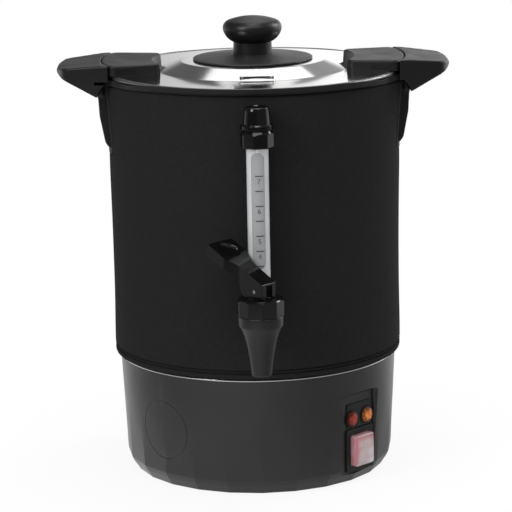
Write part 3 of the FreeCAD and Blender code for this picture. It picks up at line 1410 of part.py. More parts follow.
# The tap: body with nozzle, washer, bonnet, gasket, seat cup, stem, pin and lever.
def make_tap():
    body = turned("tap_turned", [
        ("0", "nozzle_tip_height"),
        ("nozzle_tip_radius", "nozzle_tip_height"),
        ("nozzle_lower_radius", "nozzle_lower_height"),
        ("nozzle_waist_radius", "nozzle_waist_height"),
        ("tap_body_radius", "tap_shoulder_height", "-60"),
        ("tap_body_radius", "tap_body_top"),
        ("tap_neck_radius", "tap_body_top"),
        ("tap_neck_radius", "tap_body_top + tap_neck_height"),
        ("0", "tap_body_top + tap_neck_height"),
    ])
    place(body, y="-tap_distance")
    boss = along_shank(cylinder("tap_inlet_boss", "tap_inlet_radius", "tap_distance - tap_inlet_end"),
                       "tap_inlet_end")
    socket = along_shank(cylinder("tap_socket", "shank_radius + thread_gap", "tap_socket_depth + 1"),
                         "tap_inlet_end - 1")
    passage = along_shank(cylinder("tap_passage", "tap_passage_radius",
                                   "tap_distance - tap_inlet_end - tap_cavity_low_radius / 2"),
                          "tap_inlet_end")
    # the cavity's own space, so that the inlet boss does not fill it
    room = turned("tap_room", [
        ("0", "nozzle_tip_height - 1"),
        ("nozzle_bore_radius", "nozzle_tip_height - 1"),
        ("nozzle_bore_radius", "tap_cavity_floor"),
        ("tap_cavity_low_radius", "tap_cavity_floor + tap_seat_depth"),
        ("tap_cavity_radius", "tap_cavity_height"),
        ("tap_cavity_radius", "tap_body_top + tap_neck_height + 1"),
        ("0", "tap_body_top + tap_neck_height + 1"),
    ])
    place(room, y="-tap_distance")
    hollow = cut("tap_hollow", fuse("tap_solid", body, boss), room)
    node(cut("tap_cut", hollow, socket, passage), "tap_body")
    washer_end = "tap_inlet_end + tap_socket_depth"
    ring = along_shank(cylinder("tap_washer_blank", "shank_radius", washer_end + " - shank_outer_end"),
                       "shank_outer_end")
    hole = along_shank(cylinder("tap_washer_bore", "shank_bore_radius", "20"), "shank_outer_end - 5")
    node(cut("tap_washer_cut", ring, hole), "tap_washer")

    gasket_bottom = "tap_body_top + tap_neck_height"
    gasket = tube("gasket_ring", "tap_neck_radius", "tap_cavity_radius - 4", "gasket_thickness",
                  z=gasket_bottom, y="-tap_distance")
    node(gasket, "bonnet_gasket")
    nut = place(prism("bonnet_block", "bonnet_sides", "bonnet_radius", "bonnet_top - tap_body_top"),
                y="-tap_distance", z="tap_body_top", turn="rotation(vector(0; 0; 1); 4)")
    form = turned("bonnet_form", [
        ("0", "tap_body_top"),
        ("bonnet_radius - 0.4", "tap_body_top"),
        ("bonnet_radius", "bonnet_top - bonnet_chamfer"),
        ("bonnet_radius - bonnet_chamfer", "bonnet_top", "bonnet_chamfer"),
        ("0", "bonnet_top"),
    ])
    place(form, y="-tap_distance")
    room_in = place(cylinder("bonnet_room", "tap_neck_radius + bonnet_gap",
                             "tap_neck_height + gasket_thickness + 1"), y="-tap_distance",
                    z="tap_body_top - 1")
    guide = place(cylinder("bonnet_guide", "stem_radius + stem_gap", "30"), y="-tap_distance",
                  z="tap_body_top")
    node(cut("bonnet_cut", common("bonnet_turned", nut, form), room_in, guide), "tap_bonnet")


SEAT_BOTTOM = "tap_cavity_floor + seat_lift"
SEAT_SLOPE = "(tap_cavity_low_radius - nozzle_bore_radius) / tap_seat_depth"


def make_valve():
    cup = turned("seat_cup_turned", [
        ("0", SEAT_BOTTOM),
        ("nozzle_bore_radius - seat_clearance + seat_lift * " + SEAT_SLOPE, SEAT_BOTTOM),
        ("seat_cup_radius",
         "tap_cavity_floor + (seat_cup_radius + seat_clearance - nozzle_bore_radius) / (%s)" % SEAT_SLOPE),
        ("seat_cup_radius", SEAT_BOTTOM + " + seat_cup_height - 2"),
        ("seat_cup_radius - 2", SEAT_BOTTOM + " + seat_cup_height"),
        ("stem_radius + seat_socket_gap", SEAT_BOTTOM + " + seat_cup_height"),
        ("stem_radius + seat_socket_gap", "stem_bottom"),
        ("0", "stem_bottom"),
    ])
    node(place(cup, y="-tap_distance"), "seat_cup")

    rod = place(cylinder("stem_rod", "stem_radius", "stem_eye_bottom - stem_bottom + 1"), y="-tap_distance",
                z="stem_bottom")
    eye = box("stem_eye", "stem_eye_length", "stem_eye_width", "stem_eye_top - stem_eye_bottom")
    text = ("placement(vector(0; -tap_distance; 0); %s) * placement(vector(-stem_eye_length / 2;"
            " -stem_eye_width / 2; stem_eye_bottom); %s)")
    bind(eye, "Placement", text % (LEVER, UP))
    hole = lever_pin_cylinder("stem_eye_hole", "pin_radius + pin_gap", "lever_block_width")
    node(cut("stem_cut", fuse("stem_fused", rod, eye), hole), "tap_stem")
    node(lever_pin_cylinder("pin_rod", "pin_radius", "lever_block_width - 1"), "lever_pin")


def lever_pin_cylinder(name, radius, length):
    """A cylinder centred on the tap's axis along the lever's pivot."""
    piece = cylinder(name, radius, length)
    text = ("placement(vector(0; -tap_distance; pivot_height); %s) * placement(vector(0; 0; -(%s) / 2); %s)")
    bind(piece, "Placement", text % (LEVER_PIN, length, UP))
    return piece


LEVER_SLOPE = "(lever_rise / (lever_reach + lever_heel))"


def make_lever():
    """The lever points along its own +X, up from the pivot; its cam toe rolls on the bonnet."""
    side = padded("lever_side", "XZ_Plane", [
        ("-lever_heel", "lever_foot_height - pivot_height"),
        ("lever_cam_reach", "lever_foot_height - pivot_height"),
        ("lever_cam_reach + lever_cam_radius", "0", "lever_cam_radius"),
        ("lever_neck_reach + 1", "lever_heel_height - pivot_height - lever_skirt"
         " + (lever_heel + lever_neck_reach + 1) * " + LEVER_SLOPE),
        ("lever_reach + lever_skirt * 0.2", "lever_heel_height - pivot_height + lever_rise - lever_skirt"),
        ("lever_reach", "lever_heel_height - pivot_height + lever_rise"),
        ("-lever_heel", "lever_heel_height - pivot_height"),
    ], "2 * lever_tip_width", both_ways=True)
    plan = padded("lever_plan", "XY_Plane", [
        ("-lever_heel", "-lever_block_width / 2"),
        ("lever_neck_reach", "-lever_block_width / 2"),
        ("lever_flare_reach", "-lever_tip_width / 2"),
        ("lever_reach + lever_skirt", "-lever_tip_width / 2"),
        ("lever_reach + lever_skirt", "lever_tip_width / 2"),
        ("lever_flare_reach", "lever_tip_width / 2"),
        ("lever_neck_reach", "lever_block_width / 2"),
        ("-lever_heel", "lever_block_width / 2"),
    ], "4 * lever_rise", both_ways=True)
    hollow = padded("lever_hollow", "XZ_Plane", [
        ("lever_flare_reach - 4", "-lever_skirt"),
        ("lever_reach + lever_skirt * 0.2 - lever_side_wall", "-lever_skirt"),
        ("lever_reach + lever_skirt * 0.2 - lever_side_wall", "lever_heel_height - pivot_height + lever_rise"
         " - lever_plate_thickness - lever_side_wall * " + LEVER_SLOPE),
        ("lever_flare_reach - 4", "lever_heel_height - pivot_height - lever_plate_thickness +"
         " (lever_heel + lever_flare_reach - 4) * " + LEVER_SLOPE),
    ], "lever_tip_width - 2 * lever_side_wall", both_ways=True)
    inside_plan = padded("lever_inside_plan", "XY_Plane", [
        ("lever_flare_reach - 4", "-lever_block_width / 2 + lever_side_wall"),
        ("lever_flare_reach + 2", "-lever_tip_width / 2 + lever_side_wall"),
        ("lever_reach + lever_skirt", "-lever_tip_width / 2 + lever_side_wall"),
        ("lever_reach + lever_skirt", "lever_tip_width / 2 - lever_side_wall"),
        ("lever_flare_reach + 2", "lever_tip_width / 2 - lever_side_wall"),
        ("lever_flare_reach - 4", "lever_block_width / 2 - lever_side_wall"),
    ], "4 * lever_rise", both_ways=True)
    inside = common("lever_inside", hollow, inside_plan)
    slot = box("lever_slot", "lever_heel + 1 + lever_slot_reach", "stem_eye_width + 2 * lever_slot_gap",
               "stem_eye_top - lever_foot_height + lever_slot_clearance")
    place(slot, x="-lever_heel - 1", y="-stem_eye_width / 2 - lever_slot_gap",
          z="lever_foot_height - pivot_height - 1")
    pin_hole = cylinder("lever_pin_hole", "pin_radius + pin_gap", "lever_block_width + 4")
    place(pin_hole, y="lever_block_width / 2 + 2", turn=FRONT)
    dish = doc.addObject("Part::Ellipsoid", "lever_dish")
    bind(dish, "Radius1", "dish_depth * 1.6")
    bind(dish, "Radius2", "dish_radius * 0.62")
    bind(dish, "Radius3", "dish_radius * 0.42")
    text = "placement(vector(dish_reach; 0; %s); rotation(vector(0; 1; 0); -atan(%s)))"
    lift = ("lever_heel_height - pivot_height + (dish_reach + lever_heel) * %s + dish_depth * 0.6"
            % LEVER_SLOPE)
    bind(dish, "Placement", text % (lift, LEVER_SLOPE))
    body = cut("lever_cut", common("lever_form", side, plan), inside, slot, pin_hole, dish)
    place(body, y="-tap_distance", z="pivot_height", turn=LEVER)
    return node(body, "tap_lever")


make_tank()
make_tank_studs()
make_base_shell()
make_trim_ring()
make_floor()
make_feet()
make_lamps()
make_switch()
make_rocker()
make_inlet()
make_heater()
make_terminal_block()
make_jacket()
make_handle("right", UP)
make_handle("left", LEFT)
make_handle_plates()
make_seal()
make_lid()
make_block("right", UP)
make_block("left", LEFT)
make_block_screws()
make_knob()
make_shank()
make_gauge()
make_tap()
make_valve()
make_lever()

doc.recompute()
faults = ["%s %s" % (thing.Name, state) for thing in doc.Objects for state in thing.State
          if state in ("Invalid", "Error")]
faults += ["%s has no valid shape" % thing.Label for thing in nodes
           if thing.Shape.isNull() or not thing.Shape.isValid()]
if faults:
    raise RuntimeError("; ".join(faults))

os.makedirs("parts", exist_ok=True)
for thing in nodes:
    thing.Shape.exportStep("parts/%s.step" % thing.Label)
    print("%-18s solids %d volume %.0f" % (thing.Label, len(thing.Shape.Solids), thing.Shape.Volume))
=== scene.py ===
"""Hot water urn: the visible pieces, their finishes and a plain studio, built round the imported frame.

Lengths in this file are millimetres unless a name or a property says otherwise. +Z is up, the
origin is on the tank's axis at floor level, and the tap points to -Y.
"""

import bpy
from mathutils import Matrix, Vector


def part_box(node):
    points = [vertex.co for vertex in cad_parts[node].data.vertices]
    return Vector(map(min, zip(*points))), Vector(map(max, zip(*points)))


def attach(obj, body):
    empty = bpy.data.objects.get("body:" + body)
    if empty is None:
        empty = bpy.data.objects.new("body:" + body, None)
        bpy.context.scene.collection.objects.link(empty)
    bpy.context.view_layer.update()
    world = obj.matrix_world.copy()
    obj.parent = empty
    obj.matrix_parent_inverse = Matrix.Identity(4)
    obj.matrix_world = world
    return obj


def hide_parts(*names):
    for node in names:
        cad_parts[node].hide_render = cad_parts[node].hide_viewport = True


bl_info = {
    "name": "Hot water urn",
    "version": (1, 0, 0),
    "blender": (4, 5, 0),
    "location": "View3D > Sidebar > Urn",
    "description": "Models and finishes a jacketed hot water urn with a lift-off lid, tap and sight gauge",
    "category": "Object",
}

import math
from contextlib import contextmanager

import bmesh
import bpy
import numpy as np
from mathutils import Matrix, Vector, noise

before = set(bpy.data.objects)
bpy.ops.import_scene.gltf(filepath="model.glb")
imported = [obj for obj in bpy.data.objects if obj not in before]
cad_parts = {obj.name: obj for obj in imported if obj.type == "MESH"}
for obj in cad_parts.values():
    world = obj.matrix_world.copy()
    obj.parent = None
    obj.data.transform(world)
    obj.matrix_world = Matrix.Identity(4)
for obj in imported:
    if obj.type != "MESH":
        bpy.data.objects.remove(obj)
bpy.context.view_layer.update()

MM = 0.001


def span(node):
    """A node's lowest and highest corners in millimetres."""
    low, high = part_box(node)
    return Vector(low) / MM, Vector(high) / MM


JACKET_LOW, JACKET_HIGH = span("jacket")
SHELL_TOP = span("base_shell")[1].z
LID_TOP = span("lid_pan")[1].z
LID_FLANGE = LID_TOP - 7.6

# The base: its wall, and the heights between which its flats fade into a round band.
BASE_WALL = 3.4
BASE_FLATS = 24
FADE_START = 12.0
FADE_END = 62.0
BADGE_HEIGHT = 50.0
INLET_HEIGHT = 38.0

# The control panel: its turn from the front, its face's distance from the axis, and the places on it.
PANEL_ANGLE = 46.0
PANEL_DISTANCE = 109.5
PANEL_CENTRE = 1.75
SWITCH_CENTRE = 4.4
SWITCH_HEIGHT = 27.8
LAMP_CENTRE = 4.0
LAMP_HEIGHT = 55.4
LAMP_SPACING = 18.6

# The upright axes of the gauge and the tap, the pipe that joins them, and the lever's pin.
GAUGE_Y = -136.0
TAP_Y = -167.0
PIPE_HEIGHT = 156.0
PIN_HEIGHT = 187.0
LEVER_TURN = 138.7

# The plan of a lid block and a handle's root: half widths at the inner arc and at the joint.
BLOCK_HALF = 35.0
JOINT_HALF = 43.5


class UrnSizes(bpy.types.PropertyGroup):
    """Sizes of the fine shapes that the frame leaves to the scene."""

    edge_round: bpy.props.FloatProperty(
        name="Edge rounding", description="Rounding of the edges of the lid blocks",
        default=0.0018, min=0.0002, unit="LENGTH")
    binding_width: bpy.props.FloatProperty(
        name="Binding width", description="Width of the smooth binding along the jacket's edge",
        default=0.0052, min=0.002, unit="LENGTH")
    groove_depth: bpy.props.FloatProperty(
        name="Groove depth", description="How deep the sewn grooves pull into the jacket",
        default=0.0012, min=0.0, unit="LENGTH")
    jacket_ripple: bpy.props.FloatProperty(
        name="Jacket ripple", description="Height of the soft unevenness of the jacket",
        default=0.00022, min=0.0, unit="LENGTH")
    facet_softness: bpy.props.FloatProperty(
        name="Facet softness", description="Share of each flat of the base that is rounded off",
        default=0.05, min=0.02, max=0.9, subtype="FACTOR")
    knurl_count: bpy.props.IntProperty(
        name="Knurls", description="Ribs round the flange of the gauge's cap", default=40, min=12)
    lever_edge: bpy.props.FloatProperty(
        name="Lever edge", description="Rounding of the edges of the tap's lever",
        default=0.0009, min=0.0002, unit="LENGTH")


class UrnColours(bpy.types.PropertyGroup):
    """Colours of the finishes."""

    jacket: bpy.props.FloatVectorProperty(
        name="Jacket", description="Padded jacket", subtype="COLOR", size=3,
        default=(0.0150, 0.0150, 0.0153))
    base: bpy.props.FloatVectorProperty(
        name="Base", description="Moulded base shell", subtype="COLOR", size=3,
        default=(0.017, 0.017, 0.0172))
    handle: bpy.props.FloatVectorProperty(
        name="Handles", description="Handles and lid blocks", subtype="COLOR", size=3,
        default=(0.0085, 0.0086, 0.009))
    gloss: bpy.props.FloatVectorProperty(
        name="Glossy parts", description="Knob, lever, gauge cap and collar", subtype="COLOR", size=3,
        default=(0.0035, 0.0035, 0.0037))
    shield: bpy.props.FloatVectorProperty(
        name="Gauge shield", description="Shield round the sight glass", subtype="COLOR", size=3,
        default=(0.52, 0.53, 0.54))
    red_lens: bpy.props.FloatVectorProperty(
        name="Red lens", description="Lens of the left lamp", subtype="COLOR", size=3,
        default=(0.30, 0.030, 0.018))
    amber_lens: bpy.props.FloatVectorProperty(
        name="Amber lens", description="Lens of the right lamp", subtype="COLOR", size=3,
        default=(0.62, 0.19, 0.035))
    rocker: bpy.props.FloatVectorProperty(
        name="Rocker", description="Rocker under the clear boot", subtype="COLOR", size=3,
        default=(0.72, 0.10, 0.13))


# Picking pieces and working on their meshes.
def choose(*pieces):
    """Select these objects alone and make the first one active."""
    bpy.ops.object.select_all(action="DESELECT")
    for piece in pieces:
        piece.select_set(True)
    if pieces:
        bpy.context.view_layer.objects.active = pieces[0]


@contextmanager
def shaping(piece):
    """Edit mode on one piece."""
    choose(piece)
    bpy.ops.object.mode_set(mode="EDIT")
    yield
    bpy.ops.object.mode_set(mode="OBJECT")


def pick(piece, wanted, kind="faces"):
    """In edit mode, select the faces, edges or vertices whose element passes the test."""
    bpy.ops.mesh.select_mode(type={"faces": "FACE", "edges": "EDGE", "verts": "VERT"}[kind])
    bpy.ops.mesh.select_all(action="DESELECT")
    mesh = bmesh.from_edit_mesh(piece.data)
    for item in getattr(mesh, kind):
        if wanted(item):
            item.select_set(True)
    mesh.select_flush_mode()
    bmesh.update_edit_mesh(piece.data)


def settle(piece, place=None):
    """Carry a piece by a matrix in metres and leave the object at the origin."""
    if place is not None:
        piece.matrix_world = place
    choose(piece)
    bpy.ops.object.transform_apply(location=True, rotation=True, scale=True)
    return piece


def named(name):
    """Name the active object and its mesh."""
    piece = bpy.context.object
    piece.name = name
    piece.data.name = name
    return piece


def clean():
    """Merge doubles and turn every face outwards, in edit mode."""
    bpy.ops.mesh.select_all(action="SELECT")
    bpy.ops.mesh.remove_doubles(threshold=2e-6)
    bpy.ops.mesh.normals_make_consistent(inside=False)


def apply_modifier(piece, kind, **settings):
    """Add a modifier with these settings and apply it."""
    modifier = piece.modifiers.new(kind.title(), kind)
    for key, value in settings.items():
        setattr(modifier, key, value)
    choose(piece)
    bpy.ops.object.modifier_apply(modifier=modifier.name)
    return piece


def combine(piece, other, operation="DIFFERENCE"):
    """Cut, join or keep the common part of two pieces; the second one is used up."""
    apply_modifier(piece, "BOOLEAN", operation=operation, solver="EXACT", object=other)
    bpy.data.objects.remove(other)
    return piece


def soften(piece, width, segments=3, degrees=40):
    """Round every edge sharper than the angle."""
    return apply_modifier(piece, "BEVEL", width=width * MM, segments=segments, limit_method="ANGLE",
                          angle_limit=math.radians(degrees), use_clamp_overlap=True)


def smooth(piece, degrees=35, weighted=True):
    """Shade smooth below the angle, with the flat faces keeping their normals."""
    choose(piece)
    bpy.ops.object.shade_smooth_by_angle(angle=math.radians(degrees))
    if weighted:
        apply_modifier(piece, "WEIGHTED_NORMAL", keep_sharp=True, weight=60)
    return piece


# Outlines and the solids that are pulled or turned from them.
def rounded(corners, closed=True, steps=6):
    """A path through (x, y) or (x, y, radius) corners, with an arc at each corner that has a radius."""
    path = []
    count = len(corners)
    for index, corner in enumerate(corners):
        here = Vector(corner[:2])
        ends = not closed and index in (0, count - 1)
        if len(corner) < 3 or ends:
            path.append(here)
            continue
        before = Vector(corners[index - 1][:2]) - here
        after = Vector(corners[(index + 1) % count][:2]) - here
        half = before.angle(after) / 2
        reach = min(corner[2] / math.tan(half), 0.49 * before.length, 0.49 * after.length)
        radius = reach * math.tan(half)
        middle = (before.normalized() + after.normalized()).normalized()
        centre = here + middle * (radius / math.sin(half))
        first = here + before.normalized() * reach - centre
        last = here + after.normalized() * reach - centre
        turn = math.atan2(first.x * last.y - first.y * last.x, first.dot(last))
        for step in range(steps + 1):
            angle = turn * step / steps
            path.append(centre + Matrix.Rotation(angle, 2) @ first)
    return path


def arc_points(centre, radius, start, end, steps):
    """Points on an arc, angles in degrees."""
    points = []
    for step in range(steps + 1):
        angle = math.radians(start + (end - start) * step / steps)
        points.append(Vector((centre[0] + radius * math.cos(angle), centre[1] + radius * math.sin(angle))))
    return points


def trace(points, closed):
    """In edit mode on a plane, shrink it to a point and draw the path by extruding from it."""
    bpy.ops.mesh.select_mode(type="VERT")
    bpy.ops.mesh.select_all(action="SELECT")
    bpy.ops.mesh.merge(type="CENTER")
    here = Vector((0, 0, 0))
    for index, point in enumerate(points):
        step = tuple(point - here)
        if index:
            bpy.ops.mesh.extrude_region_move(TRANSFORM_OT_translate={"value": step})
        else:
            bpy.ops.transform.translate(value=step)
        here = point
    if closed:
        mesh = bmesh.from_edit_mesh(bpy.context.object.data)
        ends = [item for item in mesh.verts if len(item.link_edges) == 1]
        bpy.ops.mesh.select_all(action="DESELECT")
        for item in ends:
            item.select_set(True)
        bpy.ops.mesh.edge_face_add()


def plane_start(name):
    """A small plane at the origin, to be traced over."""
    bpy.ops.object.select_all(action="DESELECT")
    bpy.ops.mesh.primitive_plane_add(size=0.001)
    return named(name)


def turned(name, profile, centre=(0.0, 0.0), steps=128, closed=True, degrees=360.0, start=0.0):
    """Spin an outline of (radius, height) about an upright axis."""
    piece = plane_start(name)
    axis = Vector((centre[0] * MM, centre[1] * MM, 0))
    spoke = Matrix.Rotation(math.radians(start), 3, "Z") @ Vector((1, 0, 0))
    points = [axis + spoke * (point[0] * MM) + Vector((0, 0, point[1] * MM)) for point in profile]
    with shaping(piece):
        trace(points, closed)
        bpy.ops.mesh.select_all(action="SELECT")
        full = degrees >= 360.0
        if not full:
            bpy.ops.mesh.edge_face_add()
            bpy.ops.mesh.select_all(action="SELECT")
        bpy.ops.mesh.spin(steps=steps, angle=math.radians(degrees), center=tuple(axis), axis=(0, 0, 1))
        clean()
    return piece


def slab(name, outline, low, high, place=None):
    """Fill an outline of (x, y), pull it from low to high, and carry it by a matrix in millimetres."""
    piece = plane_start(name)
    with shaping(piece):
        trace([Vector((point[0] * MM, point[1] * MM, low * MM)) for point in outline], closed=True)
        bpy.ops.mesh.select_all(action="SELECT")
        bpy.ops.mesh.edge_face_add()
        bpy.ops.mesh.select_all(action="SELECT")
        bpy.ops.mesh.extrude_region_move(TRANSFORM_OT_translate={"value": (0, 0, (high - low) * MM)})
        clean()
    return settle(piece, in_metres(place)) if place is not None else piece


def in_metres(place):
    """The same place with its shift turned from millimetres into metres."""
    moved = place.copy()
    moved.translation = place.translation * MM
    return moved


def upright_slab(name, outline, low, high, side=-1.0):
    """A slab whose outline stands in the XZ plane, pulled along Y; side 1 mirrors it to the other side."""
    stand = Matrix(((1, 0, 0, 0), (0, 0, side, 0), (0, 1, 0, 0), (0, 0, 0, 1)))
    piece = slab(name, outline, low, high, stand)
    with shaping(piece):
        clean()
    return piece


def prism(name, sides, radius, low, high, y, degrees):
    """An upright prism from low to high with its first edge turned by these degrees."""
    bpy.ops.object.select_all(action="DESELECT")
    bpy.ops.mesh.primitive_cylinder_add(vertices=sides, radius=radius * MM, depth=(high - low) * MM,
                                        location=(0.0, y * MM, (low + high) / 2 * MM),
                                        rotation=(0.0, 0.0, math.radians(degrees)))
    return settle(named(name))


def turned_copy(piece, name):
    """A copy turned half round the tank's axis, with its own mesh."""
    choose(piece)
    bpy.ops.object.duplicate()
    return settle(named(name), Matrix.Rotation(math.pi, 4, "Z"))


def sewn(name, rings):
    """A closed tube from rings of (x, y, z) points in metres, each ring joined to the next one round."""
    mesh = bmesh.new()
    rings = [[mesh.verts.new(point) for point in ring] for ring in rings]
    for index, here in enumerate(rings):
        after = rings[(index + 1) % len(rings)]
        for low in range(len(here)):
            high = (low + 1) % len(here)
            mesh.faces.new((here[low], after[low], after[high], here[high]))
    bmesh.ops.recalc_face_normals(mesh, faces=mesh.faces)
    data = bpy.data.meshes.new(name)
    mesh.to_mesh(data)
    mesh.free()
    piece = bpy.data.objects.new(name, data)
    bpy.context.scene.collection.objects.link(piece)
    return piece


def rectangle(width, rise, radius, centre=(0.0, 0.0), steps=6):
    """A rectangle with round corners."""
    x, y = centre
    corners = [(x - width / 2, y - rise / 2, radius), (x + width / 2, y - rise / 2, radius),
               (x + width / 2, y + rise / 2, radius), (x - width / 2, y + rise / 2, radius)]
    return rounded(corners, steps=steps)


def ring(inner, outer, low, high):
    """The outline of a straight ring, or of a rod where the inner radius is 0, to be turned."""
    return [(inner, low), (outer, low), (outer, high), (inner, high)]


def facing(degrees, across=0.0, up=0.0, out=0.0):
    """Local +X across a panel, +Y up it and +Z out of it, for a panel turned about the axis from -Y."""
    turn = Matrix.Rotation(math.radians(degrees), 4, "Z") @ Matrix.Rotation(math.radians(90), 4, "X")
    return turn @ Matrix.Translation((across, up, out))


def lamp_place(side):
    """A lamp's place on the control panel; the side is -0.5 for the left lamp and 0.5 for the right one."""
    return facing(PANEL_ANGLE, LAMP_CENTRE + side * LAMP_SPACING, LAMP_HEIGHT, PANEL_DISTANCE)


# Node groups that several finishes share.
def wire(tree, kind, values=None, **settings):
    """Add a node; a value that is a socket is linked, and any other is set."""
    added = tree.nodes.new(kind)
    for key, value in settings.items():
        setattr(added, key, value)
    for key, value in (values or {}).items():
        if isinstance(value, bpy.types.NodeSocket):
            tree.links.new(value, added.inputs[key])
        else:
            added.inputs[key].default_value = value
    return added


def maths(tree, operation, *values, clamp=False):
    """The result of a math node on numbers or sockets."""
    node = wire(tree, "ShaderNodeMath", dict(enumerate(values)), operation=operation, use_clamp=clamp)
    return node.outputs[0]


def ranged(tree, value, low, high, to_low=0.0, to_high=1.0, soft=False):
    """A value carried from one range to another, straight or with soft ends."""
    kind = "SMOOTHSTEP" if soft else "LINEAR"
    values = {"Value": value, "From Min": low, "From Max": high, "To Min": to_low, "To Max": to_high}
    return wire(tree, "ShaderNodeMapRange", values, interpolation_type=kind).outputs["Result"]


def blend(tree, factor, low, high):
    """A colour that runs from low to high; each of them is a colour or a socket."""
    ends = [end if isinstance(end, bpy.types.NodeSocket) else tuple(end) + (1.0,) for end in (low, high)]
    return wire(tree, "ShaderNodeMix", {0: factor, 6: ends[0], 7: ends[1]}, data_type="RGBA").outputs[2]


def colour_ramp(tree, factor, stops):
    """A colour ramp through (position, colour) stops."""
    ramp = wire(tree, "ShaderNodeValToRGB", {"Fac": factor})
    while len(ramp.color_ramp.elements) < len(stops):
        ramp.color_ramp.elements.new(0.5)
    for element, (position, colour) in zip(ramp.color_ramp.elements, stops):
        element.position = position
        element.color = tuple(colour) + (1.0,)
    return ramp.outputs["Color"]


def object_place(tree):
    """Object coordinates, in metres."""
    return wire(tree, "ShaderNodeTexCoord").outputs["Object"]


def effect(name, inputs, outputs):
    """A new node group with its inputs and outputs."""
    tree = bpy.data.node_groups.new(name, "ShaderNodeTree")
    for label, kind, default in inputs:
        socket = tree.interface.new_socket(name=label, in_out="INPUT", socket_type=kind)
        socket.default_value = default
    for label, kind in outputs:
        tree.interface.new_socket(name=label, in_out="OUTPUT", socket_type=kind)
    return tree, tree.nodes.new("NodeGroupInput"), tree.nodes.new("NodeGroupOutput")


def moulded_grain():
    """Fine pitted grain of moulded plastic, with a slow unevenness of colour."""
    tree, given, made = effect("moulded_grain", [("Scale", "NodeSocketFloat", 900.0)],
                               [("Height", "NodeSocketFloat"), ("Shade", "NodeSocketFloat")])
    spot = object_place(tree)
    fine = wire(tree, "ShaderNodeTexNoise", {"Vector": spot, "Scale": given.outputs["Scale"], "Detail": 3.0})
    pits = wire(tree, "ShaderNodeTexVoronoi", {"Vector": spot, "Scale": given.outputs["Scale"]})
    both = maths(tree, "ADD", fine.outputs["Fac"], pits.outputs["Distance"])
    slow = wire(tree, "ShaderNodeTexNoise", {"Vector": spot, "Scale": 28.0, "Detail": 4.0})
    tree.links.new(both, made.inputs["Height"])
    tree.links.new(slow.outputs["Fac"], made.inputs["Shade"])
    return tree


def handling_marks():
    """Faint smears that change the gloss."""
    tree, given, made = effect("handling_marks", [("Size", "NodeSocketFloat", 30.0)],
                               [("Mask", "NodeSocketFloat")])
    bent = wire(tree, "ShaderNodeTexNoise", {"Vector": object_place(tree), "Scale": given.outputs["Size"],
                                             "Detail": 5.0, "Distortion": 1.2})
    tree.links.new(ranged(tree, bent.outputs["Fac"], 0.42, 0.72), made.inputs["Mask"])
    return tree


def worn_edges():
    """A mask that is strongest along outer edges, used for rubbed wear and for a painted sheen along them."""
    tree, given, made = effect("worn_edges", [("Amount", "NodeSocketFloat", 1.0)],
                               [("Mask", "NodeSocketFloat")])
    sharp = ranged(tree, wire(tree, "ShaderNodeNewGeometry").outputs["Pointiness"], 0.51, 0.60)
    broken = wire(tree, "ShaderNodeTexNoise", {"Vector": object_place(tree), "Scale": 120.0, "Detail": 4.0})
    mixed = maths(tree, "MULTIPLY", sharp, broken.outputs["Fac"])
    tree.links.new(maths(tree, "MULTIPLY", mixed, given.outputs["Amount"]), made.inputs["Mask"])
    return tree


def turned_lines():
    """Fine rings left by turning or spinning about an upright axis."""
    tree, given, made = effect("turned_lines", [("Centre", "NodeSocketVector", (0.0, 0.0, 0.0)),
                                                ("Scale", "NodeSocketFloat", 2600.0)],
                               [("Height", "NodeSocketFloat"), ("Shade", "NodeSocketFloat")])
    away = wire(tree, "ShaderNodeVectorMath", {0: object_place(tree), 1: given.outputs["Centre"]},
                operation="SUBTRACT")
    parts = wire(tree, "ShaderNodeSeparateXYZ", {0: away.outputs[0]})
    flat = wire(tree, "ShaderNodeCombineXYZ", {"X": parts.outputs["X"], "Y": parts.outputs["Y"]})
    radius = wire(tree, "ShaderNodeVectorMath", {0: flat.outputs[0]}, operation="LENGTH")
    place = maths(tree, "ADD", radius.outputs["Value"], parts.outputs["Z"])
    rings = wire(tree, "ShaderNodeTexNoise", {"W": place, "Scale": given.outputs["Scale"], "Detail": 2.0},
                 noise_dimensions="1D")
    slow = wire(tree, "ShaderNodeTexNoise", {"W": place, "Scale": 180.0, "Detail": 3.0},
                noise_dimensions="1D")
    tree.links.new(rings.outputs["Fac"], made.inputs["Height"])
    tree.links.new(slow.outputs["Fac"], made.inputs["Shade"])
    return tree


def knitted_face():
    """Fine knit of the jacket's face: small close cells over a slow unevenness."""
    tree, given, made = effect("knitted_face", [("Scale", "NodeSocketFloat", 900.0)],
                               [("Height", "NodeSocketFloat"), ("Shade", "NodeSocketFloat")])
    spot = object_place(tree)
    cells = wire(tree, "ShaderNodeTexVoronoi", {"Vector": spot, "Scale": given.outputs["Scale"],
                                                "Randomness": 0.75})
    fuzz = wire(tree, "ShaderNodeTexNoise", {"Vector": spot, "Scale": 1500.0, "Detail": 4.0})
    slow = wire(tree, "ShaderNodeTexNoise", {"Vector": spot, "Scale": 340.0, "Detail": 6.0, "Roughness": 0.8})
    tree.links.new(maths(tree, "ADD", cells.outputs["Distance"], fuzz.outputs["Fac"]), made.inputs["Height"])
    tree.links.new(slow.outputs["Fac"], made.inputs["Shade"])
    return tree


EFFECTS = {}
FINISHES = {}


def use(tree, group, values=None):
    """Place a shared group in a material; the group is made the first time."""
    if group not in EFFECTS:
        EFFECTS[group] = group()
    placed = wire(tree, "ShaderNodeGroup", node_tree=EFFECTS[group])
    for key, value in (values or {}).items():
        placed.inputs[key].default_value = value
    return placed


